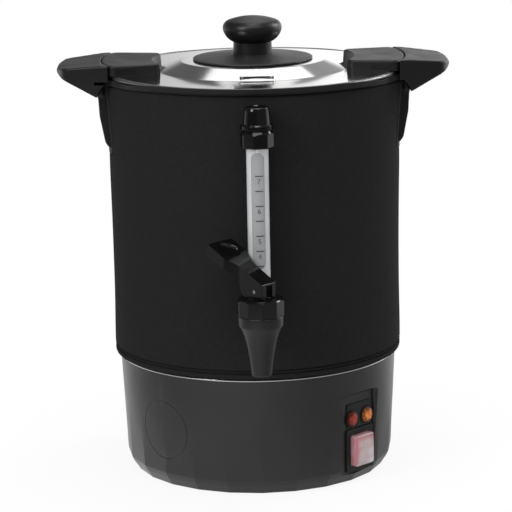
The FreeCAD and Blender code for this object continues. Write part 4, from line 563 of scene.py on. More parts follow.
# Finishes.
def blank(name, **values):
    """A material with its Principled shader; values are set on the shader's sockets."""
    material = bpy.data.materials.new(name)
    material.use_nodes = True
    tree = material.node_tree
    shader = tree.nodes["Principled BSDF"]
    for key, value in values.items():
        is_colour = hasattr(value, "__len__") and len(value) == 3
        shader.inputs[key.replace("_", " ")].default_value = tuple(value) + (1.0,) if is_colour else value
    return material, tree, shader


def between(tree, factor, low, high):
    """A colour or value that runs from low to high as the factor goes from 0 to 1."""
    if hasattr(low, "__len__"):
        return blend(tree, factor, low, high)
    return ranged(tree, factor, 0.0, 1.0, low, high)


def bumped(tree, shader, height, distance, strength=1.0):
    """Bump in metres on the shader's normal."""
    bump = wire(tree, "ShaderNodeBump", {"Height": height, "Distance": distance, "Strength": strength})
    tree.links.new(bump.outputs["Normal"], shader.inputs["Normal"])


def tinted(colour, factor):
    """A lighter or darker shade of a colour."""
    return tuple(min(1.0, channel * factor) for channel in colour)


def plastic(name, colour, roughness, grain=900.0, depth=0.00002, **values):
    """Moulded plastic: grain, slow colour change, smears in the gloss and slightly paler edges, which are
    partly rubbed wear and partly a painted sheen.
    """
    material, tree, shader = blank(name, **values)
    skin = use(tree, moulded_grain, {"Scale": grain})
    marks = use(tree, handling_marks, {"Size": 26.0})
    edges = use(tree, worn_edges, {"Amount": 1.0})
    body = between(tree, skin.outputs["Shade"], tinted(colour, 0.82), tinted(colour, 1.2))
    # paler edges: partly rubbed wear, partly a painted sheen along the edges
    wear_and_sheen_colour = blend(tree, edges.outputs["Mask"], body, tinted(colour, 2.0))
    gloss = between(tree, marks.outputs["Mask"], roughness, roughness * 1.22)
    tree.links.new(wear_and_sheen_colour, shader.inputs["Base Color"])
    tree.links.new(gloss, shader.inputs["Roughness"])
    bumped(tree, shader, skin.outputs["Height"], depth)
    return material


def metal(name, colour, roughness, centre=(0.0, 0.0, 0.0), lines=2600.0, depth=0.000002, **values):
    """Steel with fine rings and a little variation of gloss."""
    material, tree, shader = blank(name, Metallic=1.0, **values)
    rings = use(tree, turned_lines, {"Centre": centre, "Scale": lines})
    marks = use(tree, handling_marks, {"Size": 18.0})
    tone = between(tree, rings.outputs["Shade"], tinted(colour, 0.9), tinted(colour, 1.06))
    gloss = between(tree, marks.outputs["Mask"], roughness, roughness * 1.35)
    tree.links.new(tone, shader.inputs["Base Color"])
    tree.links.new(gloss, shader.inputs["Roughness"])
    bumped(tree, shader, rings.outputs["Height"], depth)
    return material


def lid_steel():
    """Polished steel that is rougher on the rolled edge of the lid, with a painted shade there that dims its
    reflections.
    """
    material, tree, shader = blank("polished_steel", Metallic=1.0)
    rings = use(tree, turned_lines, {"Scale": 2600.0})
    marks = use(tree, handling_marks, {"Size": 18.0})
    flat = wire(tree, "ShaderNodeVectorMath", {0: object_place(tree), 1: (1.0, 1.0, 0.0)},
                operation="MULTIPLY")
    away = wire(tree, "ShaderNodeVectorMath", {0: flat.outputs[0]}, operation="LENGTH")
    # the rolled edge's mask: its darker colour is a painted shade that dims the reflections there, and its
    # extra roughness is real
    edge = ranged(tree, away.outputs["Value"], 0.1186, 0.1194)
    face = between(tree, rings.outputs["Shade"], (0.68, 0.68, 0.675), (0.80, 0.80, 0.795))
    tree.links.new(blend(tree, edge, face, (0.30, 0.30, 0.30)), shader.inputs["Base Color"])
    smears = between(tree, marks.outputs["Mask"], 0.10, 0.14)
    tree.links.new(maths(tree, "MULTIPLY_ADD", edge, 0.32, smears), shader.inputs["Roughness"])
    bumped(tree, shader, rings.outputs["Height"], 0.0000006)
    return material


def lens(name, colour, glow, side):
    """A ribbed lamp lens: paler in the middle, dark towards its rim."""
    material, tree, shader = blank(name, Roughness=0.2, Specular_IOR_Level=0.4)
    spot = object_place(tree)
    centre = tuple(in_metres(lamp_place(side)).translation)
    middle = wire(tree, "ShaderNodeVectorMath", {0: spot, 1: centre}, operation="DISTANCE")
    rays = wire(tree, "ShaderNodeTexVoronoi", {"Vector": spot, "Scale": 420.0})
    broken = maths(tree, "MULTIPLY_ADD", rays.outputs["Distance"], 0.0024, middle.outputs["Value"])
    shade = colour_ramp(tree, maths(tree, "DIVIDE", broken, 0.0085), (
        (0.42, tinted(colour, 1.9)), (0.62, tinted(colour, 1.0)), (0.80, tinted(colour, 0.42)),
        (0.95, tinted(colour, 0.12))))
    tree.links.new(shade, shader.inputs["Base Color"])
    tree.links.new(shade, shader.inputs["Emission Color"])
    shader.inputs["Emission Strength"].default_value = glow
    bumped(tree, shader, rays.outputs["Distance"], 0.0003, 0.5)
    return material


def clear(name, colour, roughness, transmission=1.0, ior=1.45, **values):
    """Glass or clear plastic with faint smears."""
    material, tree, shader = blank(name, Transmission_Weight=transmission, IOR=ior, **values)
    marks = use(tree, handling_marks, {"Size": 60.0})
    tint = between(tree, marks.outputs["Mask"], tinted(colour, 1.0), tinted(colour, 0.94))
    gloss = between(tree, marks.outputs["Mask"], roughness, roughness + 0.06)
    tree.links.new(tint, shader.inputs["Base Color"])
    tree.links.new(gloss, shader.inputs["Roughness"])
    return material


def boot_finish():
    """Milky soft plastic: pink at its upper left, paler towards its lower right, with a painted white
    highlight along its edges.
    """
    material, tree, shader = blank("milky_boot", Specular_IOR_Level=0.5)
    spot = object_place(tree)
    cloud = wire(tree, "ShaderNodeTexNoise", {"Vector": spot, "Scale": 90.0, "Detail": 3.0})
    turn = math.radians(PANEL_ANGLE)
    across, down = 30.0, 22.0
    slant = (math.cos(turn) * across, math.sin(turn) * across, -down)
    along = wire(tree, "ShaderNodeVectorMath", {0: spot, 1: slant}, operation="DOT_PRODUCT")
    mixed = maths(tree, "MULTIPLY_ADD", cloud.outputs["Fac"], 0.7, along.outputs["Value"])
    start = SWITCH_CENTRE * MM * across - SWITCH_HEIGHT * MM * down + 0.35
    pale = ranged(tree, mixed, start + 0.02, start + 0.62, soft=True)
    tone = between(tree, pale, (0.70, 0.19, 0.23), (0.62, 0.42, 0.37))
    # the near-white colour along the edges is a painted highlight
    edges = use(tree, worn_edges, {"Amount": 1.8})
    tree.links.new(blend(tree, edges.outputs["Mask"], tone, (0.86, 0.86, 0.88)), shader.inputs["Base Color"])
    tree.links.new(between(tree, pale, 0.50, 0.74), shader.inputs["Alpha"])
    tree.links.new(between(tree, cloud.outputs["Fac"], 0.16, 0.28), shader.inputs["Roughness"])
    return material


def jacket_finish(colours):
    """The jacket's dull knitted face."""
    material, tree, shader = blank("jacket_face", Specular_IOR_Level=0.06)
    knit = use(tree, knitted_face, {"Scale": 950.0})
    tone = between(tree, knit.outputs["Shade"], tinted(colours.jacket, 0.5), tinted(colours.jacket, 1.7))
    tree.links.new(tone, shader.inputs["Base Color"])
    tree.links.new(between(tree, knit.outputs["Shade"], 0.72, 0.92), shader.inputs["Roughness"])
    bumped(tree, shader, knit.outputs["Height"], 0.00028)
    return material


def finishes():
    """Every finish by name, made once."""
    if FINISHES:
        return FINISHES
    colours = bpy.context.scene.urn_colours
    FINISHES.update({
        "jacket_face": jacket_finish(colours),
        "jacket_binding": plastic("jacket_binding", tinted(colours.jacket, 0.95), 0.6, grain=1400.0,
                                  depth=0.00004, Specular_IOR_Level=0.16),
        "base_satin": plastic("base_satin", colours.base, 0.29, grain=1100.0, depth=0.000008,
                              Specular_IOR_Level=0.42),
        "panel_satin": plastic("panel_satin", tinted(colours.base, 0.75), 0.38, grain=1100.0, depth=0.000008,
                               Specular_IOR_Level=0.22),
        "handle_matt": plastic("handle_matt", colours.handle, 0.40, grain=1000.0, depth=0.00002,
                               Specular_IOR_Level=0.32),
        "disc_satin": plastic("disc_satin", colours.base, 0.42, grain=1200.0, depth=0.000015,
                              Specular_IOR_Level=0.5),
        "knob_black": plastic("knob_black", tinted(colours.gloss, 1.6), 0.38, grain=900.0, depth=0.000004,
                              Specular_IOR_Level=0.42),
        "gloss_black": plastic("gloss_black", colours.gloss, 0.13, grain=300.0, depth=0.000003,
                               Specular_IOR_Level=0.38),
        "tap_semi_gloss": plastic("tap_semi_gloss", tinted(colours.base, 0.6), 0.28, grain=700.0,
                                  depth=0.000008, Specular_IOR_Level=0.34),
        "inner_plastic": plastic("inner_plastic", (0.05, 0.045, 0.04), 0.5, grain=500.0, depth=0.00003),
        "black_rubber": plastic("black_rubber", (0.012, 0.012, 0.012), 0.75, grain=1300.0, depth=0.00005),
        "seal_rubber": plastic("seal_rubber", (0.30, 0.29, 0.27), 0.6, grain=900.0, depth=0.00003),
        "shield_plastic": plastic("shield_plastic", colours.shield, 0.28, grain=260.0, depth=0.000004),
        "rocker_plastic": plastic("rocker_plastic", colours.rocker, 0.28, grain=400.0, depth=0.000006),
        "scale_ink": plastic("scale_ink", (0.04, 0.04, 0.045), 0.5, grain=900.0, depth=0.000004),
        "polished_steel": lid_steel(),
        "bright_trim": metal("bright_trim", (0.58, 0.58, 0.58), 0.22, depth=0.0000006),
        "drawn_steel": metal("drawn_steel", (0.66, 0.66, 0.65), 0.24, lines=3800.0),
        "plain_steel": metal("plain_steel", (0.56, 0.56, 0.55), 0.34),
        "cast_alloy": metal("cast_alloy", (0.50, 0.50, 0.51), 0.48, lines=900.0, depth=0.00001),
        "brass": metal("brass", (0.78, 0.57, 0.26), 0.25),
        "red_lens": lens("red_lens", colours.red_lens, 0.30, -0.5),
        "amber_lens": lens("amber_lens", colours.amber_lens, 0.30, 0.5),
        "milky_boot": boot_finish(),
        "sight_glass": clear("sight_glass", (0.96, 0.97, 0.97), 0.03),
        "clear_pane": clear("clear_pane", (0.44, 0.45, 0.46), 0.14, transmission=0.22),
    })
    return FINISHES


def dress(piece, finish, body, slot, *nodes):
    """Give a piece its finish and its place in the frame."""
    piece.data.materials.clear()
    piece.data.materials.append(finishes()[finish])
    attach(piece, body)
    if nodes:
        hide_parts(*nodes)
    return piece


# The parts that keep their frame shape, and the finish of each.
CARRIED = {
    "tank": "drawn_steel", "tank_studs": "plain_steel", "tank_nuts": "plain_steel",
    "base_floor": "base_satin", "rubber_feet": "black_rubber", "floor_screws": "plain_steel",
    "switch_body": "inner_plastic", "power_inlet": "base_satin", "inlet_pins": "plain_steel",
    "element_plate": "cast_alloy", "ring_heater": "plain_steel", "thermostat": "inner_plastic",
    "thermal_cutout": "inner_plastic", "reset_button": "rocker_plastic", "terminal_block": "inner_plastic",
    "handle_plates": "plain_steel", "handle_screws": "plain_steel", "lid_seal": "seal_rubber",
    "lid_block_screws": "plain_steel", "knob_screw": "plain_steel", "gauge_shank": "gloss_black",
    "outer_washer": "seal_rubber", "inner_washer": "seal_rubber", "shank_nut": "brass",
    "gauge_tube": "sight_glass", "tube_seal": "black_rubber", "cap_seal": "seal_rubber",
    "tap_washer": "black_rubber", "bonnet_gasket": "black_rubber", "seat_cup": "seal_rubber",
    "tap_stem": "plain_steel", "lever_pin": "plain_steel",
}


class URN_OT_carried_parts(bpy.types.Operator):
    """Give every part that keeps its frame shape its finish"""

    bl_idname = "urn.carried_parts"
    bl_label = "Carried parts"

    def execute(self, context):
        for name, finish in CARRIED.items():
            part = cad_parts[name]
            part.data.materials.clear()
            part.data.materials.append(finishes()[finish])
        return {"FINISHED"}


class URN_OT_base(bpy.types.Operator):
    """The base shell with its flats, recesses and bright trim ring"""

    bl_idname = "urn.base"
    bl_label = "Base shell and trim"

    def form(self, name, inset):
        """The outside of the base: flats that fade out upwards into a round band."""
        heights = [0.3, 0.7, 4.6, 6.6, 9.0, FADE_START, 16.0, 24.0, 32.0, 40.0, 48.0, 55.0, FADE_END,
                   74.0, 86.0, SHELL_TOP - 0.5, SHELL_TOP]
        foot = [104.9, 105.5, 108.0, 109.5, 110.9, 112.3]
        sides = [112.5 + 3.1 * (height - FADE_START) / (FADE_END - FADE_START) for height in heights[6:13]]
        band = [115.6 + 1.8 * (height - FADE_END) / 36.6 for height in heights[13:]]
        radii = foot + sides + band
        radii[-1] -= 0.5
        profile = [(radius - inset, height) for radius, height in zip(radii, heights)]
        if inset:
            rest = profile[2][0] - BASE_WALL
            above = SHELL_TOP + 3.0
            profile = [(0.0, 0.0), (rest, 0.0), (rest, 3.0)] + profile[3:-1]
            profile += [(profile[-1][0], above), (0.0, above)]
            return turned(name, profile, steps=96)
        piece = turned(name, [(0.0, 0.3)] + profile + [(0.0, SHELL_TOP)], steps=BASE_FLATS * 10)
        self.flatten(piece)
        return piece

    def flatten(self, piece):
        """Pull the round form out to the corners between the flats, most of all low down."""
        half = 180.0 / BASE_FLATS
        limit = half * (1.0 - bpy.context.scene.urn_sizes.facet_softness / 2)
        for vertex in piece.data.vertices:
            if math.hypot(vertex.co.x, vertex.co.y) < 0.1:
                continue
            height = vertex.co.z / MM
            flat = 1.0 - min(1.0, max(0.0, (height - FADE_START) / (FADE_END - FADE_START)))
            turn = math.degrees(math.atan2(vertex.co.y, vertex.co.x)) % (2 * half) - half
            # the angle from the middle of the flat, eased near the corner so that the corner is soft
            away = abs(turn)
            if away > limit:
                away = limit + (away - limit) * 0.5
            grow = (1.0 / math.cos(math.radians(away)) - 1.0) * flat
            vertex.co.x *= 1.0 + grow
            vertex.co.y *= 1.0 + grow

    def recess(self):
        """The panel's recess: upright walls low down that roll out softly into the shell."""
        width, rise, middle = 40.5, 68.0, 42.0
        # heights above the panel's face, each with how far the wall has rolled out there
        levels = ((0.0, 0.0), (1.0, 0.1), (1.8, 0.5), (2.6, 1.3), (3.4, 2.5), (4.2, 4.1), (5.0, 6.2),
                  (6.0, 9.4), (7.4, 14.5), (12.0, 32.0))
        piece = plane_start("panel_recess")
        with shaping(piece):
            trace([Vector((point.x * MM, point.y * MM, PANEL_DISTANCE * MM))
                   for point in rectangle(width, rise, 3.0, (PANEL_CENTRE, middle))], closed=True)
            bpy.ops.mesh.select_all(action="SELECT")
            bpy.ops.mesh.edge_face_add()
            bpy.ops.mesh.select_all(action="SELECT")
            for (low, narrow), (high, wide) in zip(levels, levels[1:]):
                grow_across = (width + 2 * wide) / (width + 2 * narrow)
                grow_up = (rise + 0.5 * wide) / (rise + 0.5 * narrow)
                bpy.ops.mesh.extrude_region_move(TRANSFORM_OT_translate={"value": (0, 0, (high - low) * MM)})
                bpy.ops.transform.resize(value=(grow_across, grow_up, 1.0),
                                         center_override=(PANEL_CENTRE * MM, middle * MM, 0.0))
            clean()
        return settle(piece, in_metres(facing(PANEL_ANGLE)))

    def execute(self, context):
        shell = self.form("base_shell_moulding", 0.0)
        hollow = self.form("base_hollow", BASE_WALL)
        inlet = (0.0, INLET_HEIGHT)
        switch = (SWITCH_CENTRE, SWITCH_HEIGHT)
        combine(hollow, slab("panel_backing", rectangle(46.0, 76.0, 2.0, (PANEL_CENTRE, 43.0)), 106.9, 130.0,
                             facing(PANEL_ANGLE)))
        combine(hollow, slab("inlet_backing", rectangle(37.0, 31.0, 2.0, inlet), 108.2, 130.0, facing(180.0)))
        combine(shell, hollow)
        combine(shell, self.recess())
        combine(shell, slab("inlet_recess", rectangle(32.0, 26.0, 1.5, inlet), 110.8, 125.0, facing(180.0)))
        combine(shell, slab("inlet_hole", rectangle(26.8, 19.8, 0.5, inlet), 100.0, 125.0, facing(180.0)))
        combine(shell, slab("switch_hole", rectangle(20.8, 23.4, 0.5, switch), 100.0, 125.0,
                            facing(PANEL_ANGLE)))
        for side in (-0.5, 0.5):
            hole = turned("lamp_hole", ring(0.0, 4.8, 100.0, 125.0), steps=32)
            across = LAMP_CENTRE + side * LAMP_SPACING
            combine(shell, settle(hole, in_metres(facing(PANEL_ANGLE, across, LAMP_HEIGHT))))
        # the bare round field for a badge is marked by a shallow groove
        groove = turned("badge_groove", ring(24.6, 25.1, 100.0, 130.0), steps=96)
        settle(groove, in_metres(facing(-45.0, 0.0, BADGE_HEIGHT)))
        combine(groove, self.form("badge_core", 0.3))
        combine(shell, groove)
        smooth(shell, 9)
        dress(shell, "base_satin", "urn", "base_plastic", "base_shell")

        low, high = span("base_trim_ring")
        trim = turned("bright_trim_ring", rounded([
            (104.5, low.z, 0.3), (high.x, low.z, 0.55), (high.x, low.z + 1.4, 0.55),
            (106.0, low.z + 1.4, 0.3), (106.0, high.z, 0.3), (104.5, high.z, 0.3)]), steps=192)
        smooth(trim, 35)
        dress(trim, "bright_trim", "urn", "polished_steel", "base_trim_ring")
        return {"FINISHED"}


class URN_OT_panel(bpy.types.Operator):
    """Lamp plate, two lamps, and the switch's bezel, boot and rocker"""

    bl_idname = "urn.panel"
    bl_label = "Control panel"

    place = facing(PANEL_ANGLE)
    switch = (SWITCH_CENTRE, SWITCH_HEIGHT)

    def plate(self):
        """The flat plate that holds the lamps."""
        plate = slab("lamp_plate_moulding", rectangle(30.0, 20.8, 1.6, (LAMP_CENTRE, 57.6)), PANEL_DISTANCE,
                     PANEL_DISTANCE + 0.9, self.place)
        soften(plate, 0.25, 2)
        smooth(plate)
        dress(plate, "panel_satin", "urn", "base_plastic", "lamp_plate")

    def lamp(self, node, side, finish):
        """A domed lens with shallow ribs round its shoulder, in a thin collar."""
        def is_rib(face):
            middle = face.calc_center_median()
            rib = int(math.degrees(math.atan2(*middle.xy)) // 7.5)
            return middle.z > 2.4 * MM and math.hypot(*middle.xy) > 4.6 * MM and rib % 2 == 0
        lamp = turned(node + "_lens", rounded([
            (0.0, -17.0), (4.6, -17.0), (4.6, 0.9), (6.5, 0.9, 0.2), (6.5, 2.0, 0.4), (6.2, 2.7, 0.5),
            (4.4, 3.6, 2.0), (1.8, 4.1, 2.0), (0.0, 4.2)], closed=False), steps=48, closed=False)
        with shaping(lamp):
            pick(lamp, is_rib)
            bpy.ops.mesh.inset(thickness=0.00008, depth=-0.00022)
            clean()
        settle(lamp, in_metres(lamp_place(side)))
        smooth(lamp, 40)
        dress(lamp, finish, "urn", finish, node)
        collar = turned(node + "_ring", rounded([
            (6.6, 0.85, 0.1), (7.4, 0.85, 0.2), (7.3, 1.9, 0.3), (6.65, 1.9, 0.25)]), steps=64)
        settle(collar, in_metres(lamp_place(side)))
        smooth(collar)
        dress(collar, "panel_satin", "urn", "base_plastic")

    def bezel(self):
        """The switch's frame."""
        bezel = slab("switch_bezel_moulding", rectangle(34.0, 37.0, 2.0, self.switch), PANEL_DISTANCE,
                     PANEL_DISTANCE + 1.8, self.place)
        window = slab("bezel_window", rectangle(24.1, 26.7, 2.6, self.switch), PANEL_DISTANCE - 2.0,
                      PANEL_DISTANCE + 5.0, self.place)
        combine(bezel, window)
        soften(bezel, 0.45, 3)
        smooth(bezel)
        dress(bezel, "panel_satin", "urn", "base_plastic", "switch_bezel")

    def boot(self):
        """The soft boot over the rocker, hollow behind."""
        boot = slab("switch_boot_moulding", rectangle(23.8, 26.4, 2.6, self.switch), PANEL_DISTANCE,
                    PANEL_DISTANCE + 7.0, self.place)
        with shaping(boot):
            outward = (self.place.to_3x3() @ Vector((0, 0, 1))).normalized()
            pick(boot, lambda face: face.normal.dot(outward) > 0.9)
            bpy.ops.mesh.inset(thickness=0.0009, depth=0.0)
            bpy.ops.mesh.region_to_loop()
        soften(boot, 1.2, 4, 50)
        inner = slab("boot_inside", rectangle(21.6, 24.2, 1.9, self.switch), PANEL_DISTANCE - 1.0,
                     PANEL_DISTANCE + 6.0, self.place)
        soften(inner, 1.0, 3, 50)
        combine(boot, inner)
        smooth(boot)
        dress(boot, "milky_boot", "urn", "clear_plastic", "switch_boot")

    def rocker(self):
        """The rocker with its pins, drawn from the side and tipped to its off position."""
        rise = 23.0 - 2.4 - 1.0
        width = 20.4 - 2.4 - 1.0
        rocker = slab("rocker_cap", rounded([
            (-1.6, -rise / 2, 0.6), (3.0, -rise / 2, 0.8), (1.7, -1.2, 3.0), (1.7, 1.2, 3.0),
            (3.0, rise / 2, 0.8), (-1.6, rise / 2, 0.6), (-3.2, 0.0, 2.0)]), -width / 2, width / 2)
        soften(rocker, 0.5, 3, 50)
        combine(rocker, turned("rocker_pins", ring(0.0, 1.2, -10.0, 10.0), steps=24), "UNION")
        tilt = Matrix.Rotation(math.radians(-7.0), 4, "X")
        # the outline's +X points out of the panel, its +Y up it, and its thickness runs across it
        lie = Matrix(((0, 0, -1, 0), (0, 1, 0, 0), (1, 0, 0, 0), (0, 0, 0, 1)))
        spot = Matrix.Translation((SWITCH_CENTRE, SWITCH_HEIGHT, PANEL_DISTANCE + 0.6 - 2.0))
        settle(rocker, in_metres(self.place @ spot @ tilt @ lie))
        smooth(rocker)
        dress(rocker, "rocker_plastic", "switch_rocker", "rocker_red", "rocker")

    def execute(self, context):
        self.plate()
        self.lamp("red_lamp", -0.5, "red_lens")
        self.lamp("amber_lamp", 0.5, "amber_lens")
        self.bezel()
        self.boot()
        self.rocker()
        return {"FINISHED"}


class URN_OT_jacket(bpy.types.Operator):
    """The padded jacket: a sleeve with slots for the handle legs, bound along its upper edge"""

    bl_idname = "urn.jacket"
    bl_label = "Padded jacket"

    outside = JACKET_HIGH.y
    inside = JACKET_HIGH.y - 6.2 + 0.1
    bottom = JACKET_LOW.z
    top = JACKET_HIGH.z
    slot_half = 24.5
    slot_bottom = 278.3

    def edge_path(self, radius, top):
        """The upper edge on the unrolled sleeve, as points and the direction into the fabric."""
        half = radius * math.asin(self.slot_half / radius)
        around = 2 * math.pi * radius
        corners = []
        for middle in (0.0, around / 2):
            corners += [(middle - half, top, 6.0), (middle - half, self.slot_bottom, 3.0),
                        (middle + half, self.slot_bottom, 3.0), (middle + half, top, 6.0)]
        bends = rounded([(-around / 4, top)] + corners + [(3 * around / 4, top)], closed=False, steps=8)
        points = []
        for start, end in zip(bends, bends[1:]):
            pieces = max(1, round((end - start).length / 2.6))
            points += [start.lerp(end, step / pieces) for step in range(pieces)]
        count = len(points)
        inward = []
        for index in range(count):
            before = points[index - 1] - Vector((around if index == 0 else 0.0, 0.0))
            after = points[(index + 1) % count] + Vector((around if index == count - 1 else 0.0, 0.0))
            along = (after - before).normalized()
            inward.append(Vector((along.y, -along.x)))
        return points, inward, around

    def flare(self, angle, height):
        """How far the handle legs press the sleeve out at the sides, for an angle in radians."""
        rise = min(1.0, max(0.0, (height - 185.0) / 93.0))
        low = math.exp(-((height - 98.0) / 40.0) ** 2)
        wide = (0.35 + 0.5 * low + 1.35 * rise ** 1.4) * math.cos(angle) ** 4
        corner = math.degrees(math.asin(abs(math.sin(angle)))) - 11.7
        return wide + 4.0 * min(1.0, max(0.0, (height - 282.0) / 52.0)) * math.exp(-(corner / 7.0) ** 2)

    def front(self, angle):
        """A share that is 0 at the handles and 1 at the front and the back."""
        share = min(1.0, max(0.0, (abs(math.sin(angle)) - 0.35) / 0.5))
        return share * share * (3.0 - 2.0 * share)

    def wrap(self, along, up, radius, out):
        """A point of the unrolled sleeve, wrapped round the tank, in metres."""
        angle = along / radius
        out += self.flare(angle, up)
        return Vector((out * math.cos(angle), out * math.sin(angle), up)) * MM

    def columns(self):
        """The angles of the sleeve's columns, closer together round the handle slots."""
        angles = set(float(angle) for angle in np.arange(0.0, 360.0, 1.5))
        for middle in (0.0, 180.0):
            for side in (-1, 1):
                for step in np.arange(8.0, 18.0, 0.33):
                    angles.add(round((middle + side * step) % 360.0, 3))
        return sorted(angles)

    def rows(self):
        """The heights of the sleeve's rows, closer together at the hems and the slots' lower edge."""
        bottom, top = self.bottom, self.top
        heights = set(np.round(np.arange(bottom + 1.0, top - 2.0, 4.0), 3))
        for start, end in ((bottom + 0.6, bottom + 11.0), (self.slot_bottom - 12.0, self.slot_bottom + 4.0),
                           (top - 12.0, top - 1.0)):
            heights |= set(np.round(np.arange(start, end, 0.6), 3))
        return sorted(heights)

    def face(self, angle, height, line, sizes):
        """The radius of the sleeve's face, with its groove along the binding and two along the hem."""
        width = sizes.binding_width / MM
        depth = sizes.groove_depth / MM
        turn = math.radians(angle)
        away = 60.0
        if height > 255.0:
            away = float(np.sqrt(((line - (turn * self.outside, height)) ** 2).sum(axis=1)).min())
        low = height - self.bottom
        out = self.outside - 0.45
        bound = width - 2.4 * self.front(turn)
        out -= depth * math.exp(-((away - bound - 0.35) / 0.75) ** 2)
        out -= 1.3 * depth * math.exp(-((low - 5.2) / 0.6) ** 2)
        out -= 1.3 * depth * math.exp(-((low - 7.6) / 0.6) ** 2)
        out += 0.35 * (1.0 - math.exp(-max(0.0, away - bound) / 7.0)) * (1.0 - math.exp(-low / 9.0))
        out -= 1.8 * math.exp(-low / 0.7)
        spot = Vector((math.cos(turn) * 2.4, math.sin(turn) * 2.4, height / 46.0))
        out += sizes.jacket_ripple / MM * noise.noise(spot)
        return min(out, self.outside) + self.flare(turn, height)

    def sleeve(self, points, around, sizes):
        """The padded sleeve, with its handle slots and the hole for the gauge's pipe."""
        line = np.array([tuple(point) for point in points])
        line = np.vstack([line - (around, 0.0), line, line + (around, 0.0)])
        rows = self.rows()
        rings = []
        for angle in self.columns():
            turn = math.radians(angle)
            outer = [(self.face(angle, height, line, sizes), height) for height in rows]
            section = [(self.inside, rows[0])] + outer + [(self.inside, rows[-1])]
            rings.append([(out * math.cos(turn) * MM, out * math.sin(turn) * MM, height * MM)
                          for out, height in section])
        sleeve = sewn("padded_jacket", rings)
        grow = 2.0
        half = self.slot_half + grow
        low, high = self.slot_bottom - grow, self.top + 10.0
        for name, turn in (("right", 0.0), ("left", 180.0)):
            cutter = slab("jacket_slot_" + name, rounded([
                (-half, low, 3.0), (half, low, 3.0), (half, high), (-half, high)], steps=5),
                self.inside - 10.0, self.outside + 10.0, facing(90.0 + turn))
            combine(sleeve, cutter)
        hole = turned("shank_hole", ring(0.0, 15.0, 100.0, 135.0), steps=64)
        combine(sleeve, settle(hole, in_metres(facing(0.0, 0.0, PIPE_HEIGHT))))
        smooth(sleeve, 50, weighted=False)
        dress(sleeve, "jacket_face", "urn", "jacket_vinyl", "jacket")

    def binding(self, points, inward, sizes):
        """The binding is folded over the sleeve's edge, and over the rolled rim at the front and the back."""
        outside, inside = self.outside, self.inside
        width = sizes.binding_width / MM
        raised = LID_FLANGE + 0.3 - self.top
        rings = []
        for point, into in zip(points, inward):
            share = self.front(point.x / outside) if point.y > self.top - 0.5 else 0.0
            lift = 0.1 + max(0.0, raised - 0.1) * max(0.0, share - 0.34) / 0.66
            over = min(1.0, 3.0 * share)
            bound = width - 2.4 * self.front(point.x / outside)
            section = rounded([(0.05, inside + 0.1, 0.6), (0.05, 120.5 + 2.9 * over, 0.1),
                               (-lift, 120.6 + 2.9 * over, 0.3), (-lift, outside - 0.05 + 3.4 * over, 0.5),
                               (0.9, outside - 0.05 + 2.9 * over, 1.2), (bound, outside - 0.05, 0.8),
                               (bound, inside + 0.1, 0.5)], steps=4)
            spots = [(point + into * away, out) for away, out in section]
            rings.append([self.wrap(spot.x, spot.y, outside, out) for spot, out in spots])
        binding = sewn("jacket_binding", rings)
        smooth(binding, 50, weighted=False)
        dress(binding, "jacket_binding", "urn", "jacket_vinyl")

    def execute(self, context):
        sizes = context.scene.urn_sizes
        points, inward, around = self.edge_path(self.outside, self.top)
        self.sleeve(points, around, sizes)
        self.binding(points, inward, sizes)
        return {"FINISHED"}


def tangent_corner(line_start, line_end, centre, radius, fillet, inside_circle, steps=6):
    """An arc that rounds the corner between a straight side and a circle, from the side to the circle.

    The side runs with the solid on its left.
    """
    start, end = Vector(line_start), Vector(line_end)
    along = (end - start).normalized()
    left = Vector((-along.y, along.x))
    reach = radius - fillet if inside_circle else radius + fillet
    base = start + left * fillet - Vector(centre)
    middle = base.dot(along)
    root = math.sqrt(middle ** 2 - base.length_squared + reach ** 2)
    spots = [start + left * fillet + along * (-middle + sign * root) for sign in (-1, 1)]
    spot = min(spots, key=lambda place: (place - end).length)
    first = -left * fillet
    out = (spot - Vector(centre)).normalized()
    last = out * fillet if inside_circle else -out * fillet
    turn = math.atan2(first.x * last.y - first.y * last.x, first.dot(last))
    return [spot + Matrix.Rotation(turn * step / steps, 2) @ first for step in range(steps + 1)]


def polar(points, centre):
    """The angles in degrees at which points lie round a centre."""
    return [math.degrees(math.atan2(point.y - centre[1], point.x - centre[0])) for point in points]


